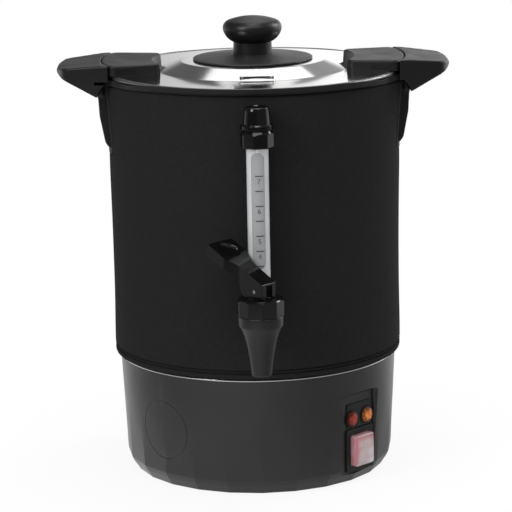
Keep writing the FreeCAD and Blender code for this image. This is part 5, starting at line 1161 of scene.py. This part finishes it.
class URN_OT_handles(bpy.types.Operator):
    """The two moulded handles with their legs"""

    bl_idname = "urn.handles"
    bl_label = "Handles"

    root = 127.8

    def plan(self):
        """The handle from above: the root's arc, two drafted sides and the nose's arc."""
        half = JOINT_HALF
        root_x = math.sqrt(self.root ** 2 - half ** 2)
        centre, nose_radius = (84.0, 0.0), 81.0
        corner = tangent_corner((root_x, -half), (158.0, -33.0), centre, nose_radius, 9.0, True)
        nose = arc_points(centre, nose_radius, polar(corner[-1:], centre)[0], 0.0, 8)
        lower = [Vector((root_x, -half))] + corner + nose[1:]
        upper = [Vector((point.x, -point.y)) for point in reversed(lower[:-1])]
        turn = math.degrees(math.asin(half / self.root))
        back = arc_points((0.0, 0.0), self.root, turn, -turn, 20)
        return lower + upper + back[1:-1]

    def execute(self, context):
        grip = slab("right_handle_moulding", self.plan(), 318.0, 352.0)
        side = upright_slab("handle_side", rounded([
            (112.0, 350.5), (112.0, 323.4), (129.6, 323.4, 6.0), (160.9, 339.6, 5.0), (164.9, 342.6, 3.0),
            (164.0, 345.8, 4.0), (158.0, 347.6, 9.0), (self.root, 350.5)], steps=6), -60.0, 60.0)
        combine(grip, side, "INTERSECT")
        for half_side in (-1.0, 1.0):
            relief = upright_slab("root_relief", [
                (105.0, 316.0), (131.2, 316.0), (129.8, 325.0), (127.4, 330.6), (123.6, 334.4),
                (105.0, 334.4)], 25.5, 50.0, half_side)
            combine(grip, relief)
        leg = upright_slab("handle_leg", rounded([
            (116.6, 337.0), (116.6, 278.8, 1.0), (121.6, 278.8, 3.0), (124.9, 283.4, 6.0),
            (129.2, 306.0, 30.0), (130.0, 323.4, 8.0), (136.0, 327.0), (136.0, 337.0)], steps=6), -24.0, 24.0)
        combine(grip, leg, "UNION")
        apply_modifier(grip, "REMESH", mode="VOXEL", voxel_size=0.8 * MM, use_smooth_shade=True)
        apply_modifier(grip, "SMOOTH", factor=0.5, iterations=7)
        combine(grip, slab("handle_notch", rectangle(14.2, 26.0, 0.3, (125.1, 40.5)), 334.4, 337.2))
        for height in (292.0, 325.0):
            hole = turned("handle_screw_hole", ring(0.0, 2.1, 112.0, 124.0), steps=24)
            combine(grip, settle(hole, in_metres(facing(90.0, 0.0, height))))
        left = turned_copy(grip, "left_handle_moulding")
        for piece, node in ((grip, "right_handle"), (left, "left_handle")):
            smooth(piece, 40, weighted=False)
            dress(piece, "handle_matt", "urn", "handle_plastic", node)
        return {"FINISHED"}


class URN_OT_rolled_rim(bpy.types.Operator):
    """The rolled steel rim at the top of the tank"""

    bl_idname = "urn.rolled_rim"
    bl_label = "Rolled rim"

    def execute(self, context):
        high = span("tank")[1]
        bead = 1.3
        rim = turned("rolled_rim", arc_points((high.x - bead, high.z - bead), bead + 0.06, 0.0, 348.0, 29),
                     steps=288)
        smooth(rim, 30)
        dress(rim, "polished_steel", "urn", "polished_steel")
        return {"FINISHED"}


class URN_OT_lid_blocks(bpy.types.Operator):
    """The two lock blocks on the lid's flange"""

    bl_idname = "urn.lid_blocks"
    bl_label = "Lid blocks"

    inner = 84.5
    outer = 127.0
    spread = JOINT_HALF - BLOCK_HALF

    def plan(self):
        """The block from above: two arcs round the lid's axis, joined by sides that spread outwards."""
        inner, outer, middle = self.inner, self.outer, (0.0, 0.0)
        start = (math.sqrt(inner ** 2 - BLOCK_HALF ** 2), -BLOCK_HALF)
        end = (math.sqrt(outer ** 2 - JOINT_HALF ** 2), -JOINT_HALF)
        far = tangent_corner(start, end, middle, outer, 7.0, True)
        # the near corner is worked out from the mirrored side, where the solid lies on the left
        near = tangent_corner((end[0], -end[1]), (start[0], -start[1]), middle, inner, 5.0, False)
        near = [Vector((point.x, -point.y)) for point in reversed(near)]
        far_turn = polar(far[-1:], middle)[0]
        near_turn = polar(near[:1], middle)[0]
        outline = near + far + arc_points(middle, outer, far_turn, -far_turn, 22)[1:-1]
        outline += [Vector((point.x, -point.y)) for point in reversed(near + far)]
        outline += arc_points(middle, inner, -near_turn, near_turn, 16)[1:-1]
        return outline, start, end

    def draft(self, block, low, high, edge_round):
        """Lean the inner end, which stands out a little at its foot, and round the top edges."""
        reach = (self.inner + 0.5) * MM
        with shaping(block):
            pick(block, lambda item: item.co.xy.length < reach, "verts")
            bpy.ops.transform.translate(value=(-0.8 * MM, 0.0, 0.0))
            pick(block, lambda item: item.co.xy.length < reach and item.co.z < (low + 1.0) * MM, "verts")
            bpy.ops.transform.translate(value=(-0.7 * MM, 0.0, 0.0))
            pick(block, lambda edge: all(abs(item.co.z - high * MM) < 1e-6 for item in edge.verts), "edges")
            bpy.ops.mesh.bevel(offset=edge_round, segments=4, affect="EDGES", clamp_overlap=False)
            clean()

    def execute(self, context):
        low, high = (corner.z for corner in span("right_lid_block"))
        outline, start, end = self.plan()
        block = slab("right_block_moulding", outline, low, high)
        self.draft(block, low, high, context.scene.urn_sizes.edge_round)
        combine(block, turned("rim_relief", ring(120.5, 140.0, low - 2.0, low + 0.7), steps=96))
        # a shallow mould recess low in the front and back faces
        away = 106.0
        lie = Matrix(((1, 0, 0, 0), (0, 0, -1, 0), (0, 1, 0, 0), (0, 0, 0, 1)))
        slope = math.degrees(math.atan2(self.spread, end[0] - start[0]))
        for side in (-1.0, 1.0):
            pocket = slab("mould_recess", rectangle(17.0, 3.4, 1.2, (away, low + 3.9)), -0.8, 0.8)
            across = side * (BLOCK_HALF + self.spread * (away - start[0]) / (end[0] - start[0]))
            turn = Matrix.Rotation(math.radians(side * slope), 4, "Z")
            move = Matrix.Translation((away, across, 0.0)) @ turn @ Matrix.Translation((-away, 0.0, 0.0))
            settle(pocket, in_metres(move @ lie))
            with shaping(pocket):
                clean()
            combine(block, pocket)
        left = turned_copy(block, "left_block_moulding")
        for piece, node in ((block, "right_lid_block"), (left, "left_lid_block")):
            smooth(piece, 35)
            dress(piece, "handle_matt", "lid", "handle_plastic", node)
        return {"FINISHED"}


class URN_OT_lid(bpy.types.Operator):
    """The spun lid with its louvre and pressed step"""

    bl_idname = "urn.lid"
    bl_label = "Lid"

    aside = Matrix.Rotation(math.radians(1.4), 4, "Z")

    def spun(self):
        """The lid's pan: a flat top, a cone, the flange and a short skirt that hangs into the tank."""
        top, flange, wall = LID_TOP, LID_FLANGE, 0.8
        under = flange - wall
        return turned("spun_lid", rounded([
            (2.2, top), (48.0, top), (61.0, top, 5.0), (80.0, flange, 5.0), (84.0, flange), (88.0, flange),
            (93.0, flange), (99.0, flange), (106.0, flange), (112.0, flange), (117.0, flange),
            (119.6, flange, 0.5), (120.3, flange - 0.35, 0.3), (119.6, under, 0.3), (113.0, under, 0.2),
            (113.0, under - 14.0, 0.2), (112.2, under - 14.0, 0.2), (112.2, under, 0.4), (106.0, under),
            (99.0, under), (93.0, under), (86.0, under), (79.6, under, 4.0), (60.6, top - wall, 4.0),
            (2.2, top - wall)], steps=8), steps=288)

    def louvre(self, pan):
        """A pointed hood on the cone, raised along its open lower edge, with a slit under it."""
        slope = math.atan2(LID_TOP - LID_FLANGE, 80.0 - 61.0)
        base = (self.aside @ Matrix.Translation((0.0, -73.0, LID_TOP - 4.8))
                @ Matrix.Rotation(slope, 4, "X"))
        hood = plane_start("louvre_hood")
        with shaping(hood):
            trace([Vector(point) * MM for point in (
                (-14.2, -1.2, -1.4), (14.2, -1.2, -1.4), (1.0, 13.0, -1.4), (-1.0, 13.0, -1.4))], closed=True)
            bpy.ops.mesh.select_all(action="SELECT")
            bpy.ops.mesh.edge_face_add()
            bpy.ops.mesh.select_all(action="SELECT")
            bpy.ops.mesh.extrude_region_move(TRANSFORM_OT_translate={"value": (0, 0, 1.45 * MM)})
            pick(hood, lambda item: item.co.z > 0 and item.co.y < 1 * MM, "verts")
            bpy.ops.transform.translate(value=(0, 0, 1.25 * MM))
            clean()
        soften(hood, 0.45, 4, 15)
        combine(pan, settle(hood, in_metres(base)), "UNION")
        slit = slab("louvre_slit", rectangle(24.6, 5.0, 0.4, (0.0, -0.6)), 0.12, 0.95)
        combine(pan, settle(slit, in_metres(base)))

    def execute(self, context):
        pan = self.spun()
        self.louvre(pan)
        # a shallow pressed step where the cone meets the flange below the louvre
        step = slab("pressed_step", rounded([
            (-15.6, -88.6, 1.8), (15.6, -88.6, 1.8), (14.4, -79.5, 1.0), (-14.4, -79.5, 1.0)], steps=4),
            LID_FLANGE - 0.3, LID_FLANGE + 0.28, self.aside)
        soften(step, 0.2, 2, 50)
        combine(pan, step, "UNION")
        under = LID_FLANGE - 0.8
        for side in (-1, 1):
            for half in (-1, 1):
                combine(pan, turned("block_screw_hole", ring(0.0, 1.6, under - 3.0, LID_FLANGE + 3.0),
                                    (side * 101.0, half * 22.0), steps=20))
        smooth(pan, 9)
        dress(pan, "polished_steel", "lid", "polished_steel", "lid_pan")
        return {"FINISHED"}


class URN_OT_knob(bpy.types.Operator):
    """The knob's disc and the knob"""

    bl_idname = "urn.knob"
    bl_label = "Knob and disc"

    def execute(self, context):
        base = span("knob_disc")[0].z
        disc = turned("satin_disc", rounded([
            (2.3, base), (48.8, base, 0.4), (50.2, base + 0.5, 0.4), (50.2, base + 1.6, 0.6),
            (46.0, base + 2.2, 6.0), (19.0, base + 4.9, 4.0), (2.3, base + 4.9)], steps=5), steps=192)
        smooth(disc, 35)
        dress(disc, "disc_satin", "lid", "knob_plastic", "knob_disc")

        base = span("knob")[0].z
        # waist and flared side, rounded edge and domed top, each an arc that meets the next one smoothly
        profile = [(0.0, base), (16.4, base), (16.0, base + 9.8)]
        profile += arc_points((10.097, base + 23.59), 15.0, -66.8, -16.2, 14)[1:]
        profile += arc_points((17.777, base + 21.351), 7.0, -16.2, 67.1, 16)[1:]
        profile += arc_points((0.0, base - 28.77), 60.17, 70.08, 90.0, 12)[1:]
        knob = turned("grip_knob", profile, steps=144, closed=False)
        smooth(knob, 40)
        dress(knob, "knob_black", "lid", "knob_plastic", "knob")
        return {"FINISHED"}


class URN_OT_gauge(bpy.types.Operator):
    """The sight gauge: shield, window, scale, collar and cap"""

    bl_idname = "urn.gauge"
    bl_label = "Sight gauge"

    axis = (0.0, GAUGE_Y)
    pane_face = 8.7

    def window(self, name, width, low, high):
        """A long window with round ends, cut through the front of the shield."""
        half = width / 2
        points = arc_points((0.0, low + half), half, 180.0, 360.0, 14)
        points += arc_points((0.0, high - half), half, 0.0, 180.0, 14)
        return slab(name, points, -GAUGE_Y, -GAUGE_Y + 12.0, facing(0.0))

    def shield(self):
        """The tubular shield and the clear pane that fills its window."""
        shield = turned("gauge_shield_moulding", ring(7.8, 8.9, 172.0, 299.0), self.axis, steps=72)
        combine(shield, self.window("shield_window", 10.4, 198.6, 293.6))
        soften(shield, 0.55, 3, 50)
        smooth(shield)
        dress(shield, "shield_plastic", "urn", "shield_plastic", "gauge_shield")

        pane = turned("gauge_pane", ring(7.95, 8.65, 190.0, 298.0), self.axis, steps=96)
        combine(pane, self.window("pane_outline", 10.2, 198.7, 293.5), "INTERSECT")
        smooth(pane)
        dress(pane, "clear_pane", "urn", "clear_plastic", "gauge_window")

    def number(self, name, digit, height):
        """A plain printed number, bent round the pane."""
        bpy.ops.object.select_all(action="DESELECT")
        bpy.ops.object.text_add()
        text = named(name)
        text.data.body = digit
        text.data.size = 6.0 * MM
        text.data.align_x = "CENTER"
        text.data.align_y = "CENTER"
        text.data.extrude = 0.06 * MM
        text.data.resolution_u = 4
        choose(text)
        bpy.ops.object.convert(target="MESH")
        settle(text, in_metres(Matrix.Translation((0.6, GAUGE_Y - self.pane_face, height))
                               @ Matrix.Rotation(math.radians(90), 4, "X")))
        for vertex in text.data.vertices:
            out = 8.68 * MM + (GAUGE_Y * MM - self.pane_face * MM - vertex.co.y)
            turn = vertex.co.x / (self.pane_face * MM)
            vertex.co.x = out * math.sin(turn)
            vertex.co.y = GAUGE_Y * MM - out * math.cos(turn)
        with shaping(text):
            clean()
        return text

    def scale(self):
        """Seven printed strokes and four plain numbers, laid on the pane."""
        marks = []
        for index, height in enumerate((274.6, 262.4, 250.3, 238.2, 226.0, 213.7, 201.4)):
            marks.append(turned("scale_stroke_%d" % index, ring(8.6, 8.76, height - 0.45, height + 0.45),
                                self.axis, steps=10, degrees=43.0, start=-62.5))
        for index, (digit, height) in enumerate((("7", 270.2), ("6", 245.9), ("5", 221.6), ("4", 208.9))):
            marks.append(self.number("scale_number_%d" % index, digit, height))
        choose(*marks)
        bpy.ops.object.join()
        dress(named("gauge_scale"), "scale_ink", "urn", "inner_plastic")

    def collar(self):
        """An eight-sided collar with a turned chamfer."""
        low, high = (corner.z for corner in span("gauge_collar"))
        seat, bore, radius = 299.15, 6.1, 13.9
        collar = prism("gauge_collar_moulding", 8, radius, low, high, GAUGE_Y, 35.0)
        form = turned("collar_form", rounded([
            (0.0, low), (13.0, low, 0.6), (radius, low + 1.2, 0.6), (radius, high - 4.2, 0.9),
            (11.1, high, 0.5), (0.0, high)], closed=False, steps=4), self.axis, steps=96, closed=False)
        soften(collar, 1.2, 4, 30)
        combine(collar, form, "INTERSECT")
        combine(collar, turned("collar_bore", [(0.0, low - 1.0), (9.0, low - 1.0), (9.0, seat), (bore, seat),
                                               (bore, high + 1.0), (0.0, high + 1.0)], self.axis, steps=64))
        smooth(collar, 30)
        dress(collar, "gloss_black", "urn", "tap_plastic", "gauge_collar")

    def cap(self, knurl_count):
        """The screw cap: a knurled flange under a drafted, dished top."""
        base = span("gauge_cap")[0].z
        pitch = 360.0 / knurl_count

        def is_gap(face):
            centre = face.calc_center_median() / MM
            side = Vector((centre.x, centre.y - GAUGE_Y))
            angle = math.degrees(math.atan2(side.y, side.x)) % pitch
            return side.length > 12.4 and base + 0.3 < centre.z < base + 3.4 and angle < pitch / 2
        cap = turned("gauge_cap_moulding", rounded([
            (6.0, base + 0.1), (12.3, base, 0.3), (12.7, base + 0.4, 0.3), (12.7, base + 3.2, 0.3),
            (12.1, base + 3.7, 0.3), (11.4, base + 4.2, 0.5), (10.3, base + 15.4, 1.5),
            (9.6, base + 17.5, 0.9), (8.2, base + 17.8, 0.5), (7.4, base + 17.2, 0.5),
            (3.0, base + 16.6, 2.0), (0.8, base + 16.6), (0.8, base + 12.0), (6.0, base + 12.0)], steps=5),
            self.axis, steps=160)
        with shaping(cap):
            pick(cap, is_gap)
            bpy.ops.mesh.extrude_region_shrink_fatten(TRANSFORM_OT_shrink_fatten={"value": 0.45 * MM})
        smooth(cap, 35)
        dress(cap, "gloss_black", "urn", "tap_plastic", "gauge_cap")

    def execute(self, context):
        self.shield()
        self.scale()
        self.collar()
        self.cap(context.scene.urn_sizes.knurl_count)
        return {"FINISHED"}


class URN_OT_tap(bpy.types.Operator):
    """The tap's body and its ten-sided bonnet"""

    bl_idname = "urn.tap"
    bl_label = "Tap body and bonnet"

    axis = (0.0, TAP_Y)

    def body(self):
        """The nozzle, which flares up to a shoulder, with the passage from the tank."""
        start, end, bow = Vector((12.2, 143.5)), Vector((18.3, 159.5)), 0.6
        outline = rounded([(6.0, 118.1, 0.3), (6.4, 117.5, 0.3), (7.6, 117.5, 0.3), (8.1, 118.2, 0.5),
                           (9.9, 132.0, 20.0)], closed=False, steps=4)
        # the flank is bowed in a little between the waist and the shoulder
        for step in range(9):
            spot = start.lerp(end, step / 8)
            dip = bow * math.sin(math.pi * step / 8)
            outline.append(Vector((spot.x - dip * 0.93, spot.y + dip * 0.36)))
        outline += rounded([(18.3, 159.5), (18.3, 166.4, 0.5), (17.9, 166.95, 0.4), (16.4, 167.0),
                            (16.4, 174.0), (13.0, 174.0), (13.0, 161.0), (10.2, 150.0), (6.0, 146.5)],
                           closed=False, steps=4)[1:]
        body = turned("tap_body_moulding", outline, self.axis, steps=128)
        boss = turned("tap_inlet_boss", rounded([
            (9.5, 147.8), (10.6, 147.8, 0.4), (10.8, 148.4, 0.4), (10.8, 158.0), (5.6, 158.0), (5.6, 152.6),
            (9.5, 152.6)], steps=3), steps=64)
        hole = turned("tap_passage", ring(0.0, 5.6, 145.0, 160.0), steps=40)
        pipe = in_metres(facing(0.0, 0.0, PIPE_HEIGHT))
        combine(body, settle(boss, pipe), "UNION")
        combine(body, settle(hole, pipe))
        smooth(body, 30)
        dress(body, "tap_semi_gloss", "urn", "tap_plastic", "tap_body")

    def bonnet(self):
        """A ten-sided bonnet with a turned upper edge."""
        low, high = (corner.z for corner in span("tap_bonnet"))
        radius, thread, stem, roof = 19.1, 16.55, 3.68, low + 8.6
        bonnet = prism("bonnet_moulding", 10, radius, low, high, TAP_Y, 4.0)
        soften(bonnet, 0.8, 3, 30)
        form = turned("bonnet_form", rounded([
            (0.0, low), (18.3, low, 0.4), (radius, low + 0.8, 0.4), (radius, high - 1.7, 1.2),
            (17.4, high, 1.0), (0.0, high)], closed=False, steps=5), self.axis, steps=96, closed=False)
        combine(bonnet, form, "INTERSECT")
        combine(bonnet, turned("bonnet_room", [(0.0, low - 1.0), (thread, low - 1.0), (thread, roof),
                                               (stem, roof), (stem, high + 2.0), (0.0, high + 2.0)],
                               self.axis, steps=64))
        smooth(bonnet, 28)
        dress(bonnet, "gloss_black", "urn", "tap_plastic", "tap_bonnet")

    def execute(self, context):
        self.body()
        self.bonnet()
        return {"FINISHED"}


class URN_OT_lever(bpy.types.Operator):
    """The tap's lever with its thumb dish"""

    bl_idname = "urn.lever"
    bl_label = "Tap lever"

    heel = 8.8
    heel_top = 6.2
    reach = 43.0
    rise = 29.0
    skirt = 9.0
    slope = rise / (reach + heel)

    def outside(self, edge):
        """The lever's outside: its side profile, cut to its plan, with soft edges."""
        heel, heel_top, reach, rise, skirt, slope = (self.heel, self.heel_top, self.reach, self.rise,
                                                     self.skirt, self.slope)
        lever = upright_slab("lever_moulding", rounded([
            (-heel, -5.5, 0.8), (8.1, -5.5), (10.4, -4.6, 2.0), (12.2, -2.8, 2.0), (13.4, 0.0, 2.0),
            (16.0, heel_top - skirt + (heel + 16.0) * slope, 2.0),
            (reach + skirt * 0.2, heel_top + rise - skirt, 1.0), (reach, heel_top + rise, 1.2),
            (-heel, heel_top, 1.0)], steps=4), -30.0, 30.0)
        tip = reach + skirt
        plan = slab("lever_plan", rounded([
            (-heel, -8.5, 1.0), (15.0, -8.5, 5.0), (25.5, -14.5, 4.0), (tip, -14.5), (tip, 14.5),
            (25.5, 14.5, 4.0), (15.0, 8.5, 5.0), (-heel, 8.5, 1.0)], steps=4), -20.0, 50.0)
        combine(lever, plan, "INTERSECT")
        return soften(lever, edge, 3, 38)

    def hollow(self):
        """The room under the paddle, which leaves a skirt round it."""
        start, under = 21.5, self.heel_top - 3.4
        end = self.reach + self.skirt * 0.2 - 2.2
        hollow = upright_slab("lever_hollow", rounded([
            (start, -20.0), (end, -20.0), (end, under + self.rise - 2.2 * self.slope, 1.0),
            (start, under + (self.heel + start) * self.slope, 1.0)], steps=4), -12.3, 12.3)
        inner = slab("lever_hollow_plan", [(start, -6.3), (27.5, -12.3), (60.0, -12.3), (60.0, 12.3),
                                           (27.5, 12.3), (start, 6.3)], -30.0, 60.0)
        return combine(hollow, inner, "INTERSECT")

    def dish(self):
        """The shallow thumb dish in the paddle's face."""
        bpy.ops.object.select_all(action="DESELECT")
        bpy.ops.mesh.primitive_uv_sphere_add(segments=64, ring_count=32, radius=1.0 * MM)
        dish = named("thumb_dish")
        away = 31.5
        spot = Matrix.Translation((away, 0.0, self.heel_top + (away + self.heel) * self.slope + 1.0))
        tilt = Matrix.Rotation(-math.atan(self.slope), 4, "Y")
        return settle(dish, in_metres(spot @ tilt @ Matrix.Diagonal((9.4, 10.6, 3.2, 1.0))))

    def execute(self, context):
        lever = self.outside(context.scene.urn_sizes.lever_edge / MM)
        combine(lever, self.hollow())
        combine(lever, slab("lever_slot", rectangle(18.6, 8.0, 0.4, (-0.5, 0.0)), -7.5, 5.0))
        hole = turned("pin_hole", ring(0.0, 1.56, -12.0, 12.0), steps=24)
        combine(lever, settle(hole, Matrix.Rotation(math.radians(90), 4, "X")))
        combine(lever, self.dish())
        settle(lever, in_metres(Matrix.Translation((0.0, TAP_Y, PIN_HEIGHT))
                                @ Matrix.Rotation(math.radians(LEVER_TURN), 4, "Z")))
        smooth(lever, 32)
        dress(lever, "gloss_black", "lever", "tap_plastic", "tap_lever")
        return {"FINISHED"}


class URN_OT_stage(bpy.types.Operator):
    """Floor, soft light, pale surroundings and the camera"""

    bl_idname = "urn.stage"
    bl_label = "Studio"

    def floor(self):
        """A pale floor that is white away from the shadow; polished pieces mirror it by its own levels."""
        bpy.ops.object.select_all(action="DESELECT")
        bpy.ops.mesh.primitive_circle_add(vertices=96, radius=6.0, fill_type="NGON")
        floor = settle(named("studio_floor"))
        material, tree, shader = blank("pale_floor", Roughness=0.9, Specular_IOR_Level=0.0,
                                       Base_Color=(0.93, 0.93, 0.93))
        spot = object_place(tree)
        parts = wire(tree, "ShaderNodeSeparateXYZ", {0: spot})
        away = wire(tree, "ShaderNodeVectorMath", {0: spot}, operation="LENGTH")
        far = ranged(tree, away.outputs["Value"], 0.13, 0.34, 0.90, 1.0, soft=True)
        close = ranged(tree, parts.outputs["Y"], -1.2, -0.5, 0.14, 0.62, soft=True)
        side = maths(tree, "ABSOLUTE", maths(tree, "ADD", parts.outputs["X"], 0.12))
        front = maths(tree, "MULTIPLY", close, ranged(tree, side, 0.0, 0.34, 1.45, 0.7, soft=True))
        behind = ranged(tree, parts.outputs["Y"], -0.1, 0.4, soft=True)
        mirrored = wire(tree, "ShaderNodeMix", {0: behind, 2: front, 3: 0.95})
        path = wire(tree, "ShaderNodeLightPath").outputs
        level = wire(tree, "ShaderNodeMix", {0: path["Is Glossy Ray"], 2: 1.0, 3: mirrored.outputs[0]})
        seen = maths(tree, "ADD", path["Is Camera Ray"], path["Is Transmission Ray"], clamp=True)
        direct = maths(tree, "MULTIPLY", seen, far)
        share = maths(tree, "ADD", path["Is Glossy Ray"], direct, clamp=True)
        glow = wire(tree, "ShaderNodeEmission", {"Color": (1.0, 1.0, 1.0, 1.0), "Strength": level.outputs[0]})
        mixed = wire(tree, "ShaderNodeMixShader", {0: share, 1: shader.outputs["BSDF"], 2: glow.outputs[0]})
        tree.links.new(mixed.outputs[0], tree.nodes["Material Output"].inputs["Surface"])
        floor.data.materials.append(material)

    def world(self):
        """White behind the urn, dim light on it, and pale to dark surroundings for it to mirror."""
        world = bpy.data.worlds.new("studio_world")
        bpy.context.scene.world = world
        world.use_nodes = True
        tree = world.node_tree
        white = tree.nodes["Background"]
        white.inputs["Color"].default_value = (1.0, 1.0, 1.0, 1.0)
        spot = wire(tree, "ShaderNodeTexCoord").outputs["Generated"]
        parts = wire(tree, "ShaderNodeSeparateXYZ", {0: spot})
        wall = colour_ramp(tree, parts.outputs["Z"], [
            (height, (level, level, level))
            for height, level in ((0.105, 0.97), (0.165, 0.72), (0.32, 0.21), (0.9, 0.17))])
        behind = ranged(tree, parts.outputs["Y"], -0.2, 0.35, soft=True)
        right = ranged(tree, parts.outputs["X"], -0.06, 0.10, 0.6, 1.8, soft=True)
        around = wire(tree, "ShaderNodeBackground", {
            "Color": blend(tree, behind, (0.12, 0.12, 0.125), wall), "Strength": right})
        dim = wire(tree, "ShaderNodeBackground", {"Color": (1.0, 1.0, 1.0, 1.0), "Strength": 0.35})
        path = wire(tree, "ShaderNodeLightPath").outputs
        glossy = maths(tree, "ADD", path["Is Glossy Ray"], path["Is Transmission Ray"], clamp=True)
        first = wire(tree, "ShaderNodeMixShader", {0: glossy, 1: dim.outputs[0], 2: around.outputs[0]})
        last = wire(tree, "ShaderNodeMixShader", {0: path["Is Camera Ray"], 1: first.outputs[0],
                                                  2: white.outputs[0]})
        tree.links.new(last.outputs[0], tree.nodes["World Output"].inputs["Surface"])

    def lamp(self, name, place, target, width, rise, energy):
        """A soft box of this size in metres, turned to its target."""
        bpy.ops.object.select_all(action="DESELECT")
        bpy.ops.object.light_add(type="AREA", location=place)
        lamp = bpy.context.object
        lamp.name = name
        lamp.data.shape = "RECTANGLE"
        lamp.data.size = width
        lamp.data.size_y = rise
        lamp.data.energy = energy
        lamp.rotation_euler = (Vector(target) - Vector(place)).to_track_quat("-Z", "Y").to_euler()

    def camera(self):
        """The camera that was solved from the photograph, with its slight roll."""
        bpy.ops.object.camera_add()
        camera = bpy.context.object
        camera.name = "photo_camera"
        place = Vector((-0.0369, -2.2478, 0.6649))
        view = Vector((0.0159, 0.977, -0.2113)).normalized()
        side = view.cross(Vector((0.0, 0.0, 1.0))).normalized()
        up = side.cross(view)
        roll = math.radians(1.05)
        lifted = up * math.cos(roll) + side * math.sin(roll)
        across = view.cross(lifted)
        turn = Matrix((across, lifted, -view)).transposed().to_4x4()
        camera.matrix_world = Matrix.Translation(place) @ turn
        camera.data.lens = 189.43
        camera.data.sensor_width = 36.0
        bpy.context.scene.camera = camera

    def execute(self, context):
        self.floor()
        self.world()
        middle, lid = (0.0, 0.0, 0.2), (0.0, 0.0, 0.35)
        self.lamp("key_softbox", (-1.6, -1.6, 1.6), middle, 0.7, 1.2, 27.0)
        self.lamp("top_softbox", (0.05, 0.1, 2.2), middle, 0.5, 0.7, 8.0)
        self.lamp("front_softbox", (0.05, -0.95, 1.70), (0.0, -0.13, 0.33), 1.5, 0.5, 9.0)
        self.lamp("back_softbox", (0.045, 0.95, 1.45), lid, 0.72, 0.45, 1.3)
        self.lamp("low_back_softbox", (0.03, 1.0, 1.02), lid, 0.26, 0.22, 0.17)
        self.lamp("side_lamp", (0.95, 0.45, 0.9), lid, 0.35, 0.5, 5.0)
        self.camera()
        context.scene.view_settings.view_transform = "Standard"
        return {"FINISHED"}


STEPS = (URN_OT_carried_parts, URN_OT_base, URN_OT_panel, URN_OT_jacket, URN_OT_handles, URN_OT_rolled_rim,
         URN_OT_lid_blocks, URN_OT_lid, URN_OT_knob, URN_OT_gauge, URN_OT_tap, URN_OT_lever, URN_OT_stage)


class URN_PT_pieces(bpy.types.Panel):
    """Sizes, colours and a button for each group of pieces"""

    bl_idname = "URN_PT_pieces"
    bl_label = "Hot water urn"
    bl_space_type = "VIEW_3D"
    bl_region_type = "UI"
    bl_category = "Urn"

    def draw(self, context):
        for step in STEPS:
            self.layout.operator(step.bl_idname)
        for settings in (context.scene.urn_sizes, context.scene.urn_colours):
            box = self.layout.box()
            for name in settings.__annotations__:
                box.prop(settings, name)


CLASSES = (UrnSizes, UrnColours) + STEPS + (URN_PT_pieces,)


def register():
    for item in CLASSES:
        bpy.utils.register_class(item)
    bpy.types.Scene.urn_sizes = bpy.props.PointerProperty(type=UrnSizes)
    bpy.types.Scene.urn_colours = bpy.props.PointerProperty(type=UrnColours)


def unregister():
    del bpy.types.Scene.urn_colours
    del bpy.types.Scene.urn_sizes
    for item in reversed(CLASSES):
        bpy.utils.unregister_class(item)


def main():
    """Register the add-on and make every piece in order."""
    register()
    for step in STEPS:
        group, name = step.bl_idname.split(".")
        getattr(getattr(bpy.ops, group), name)()


if __name__ == "__main__":
    main()
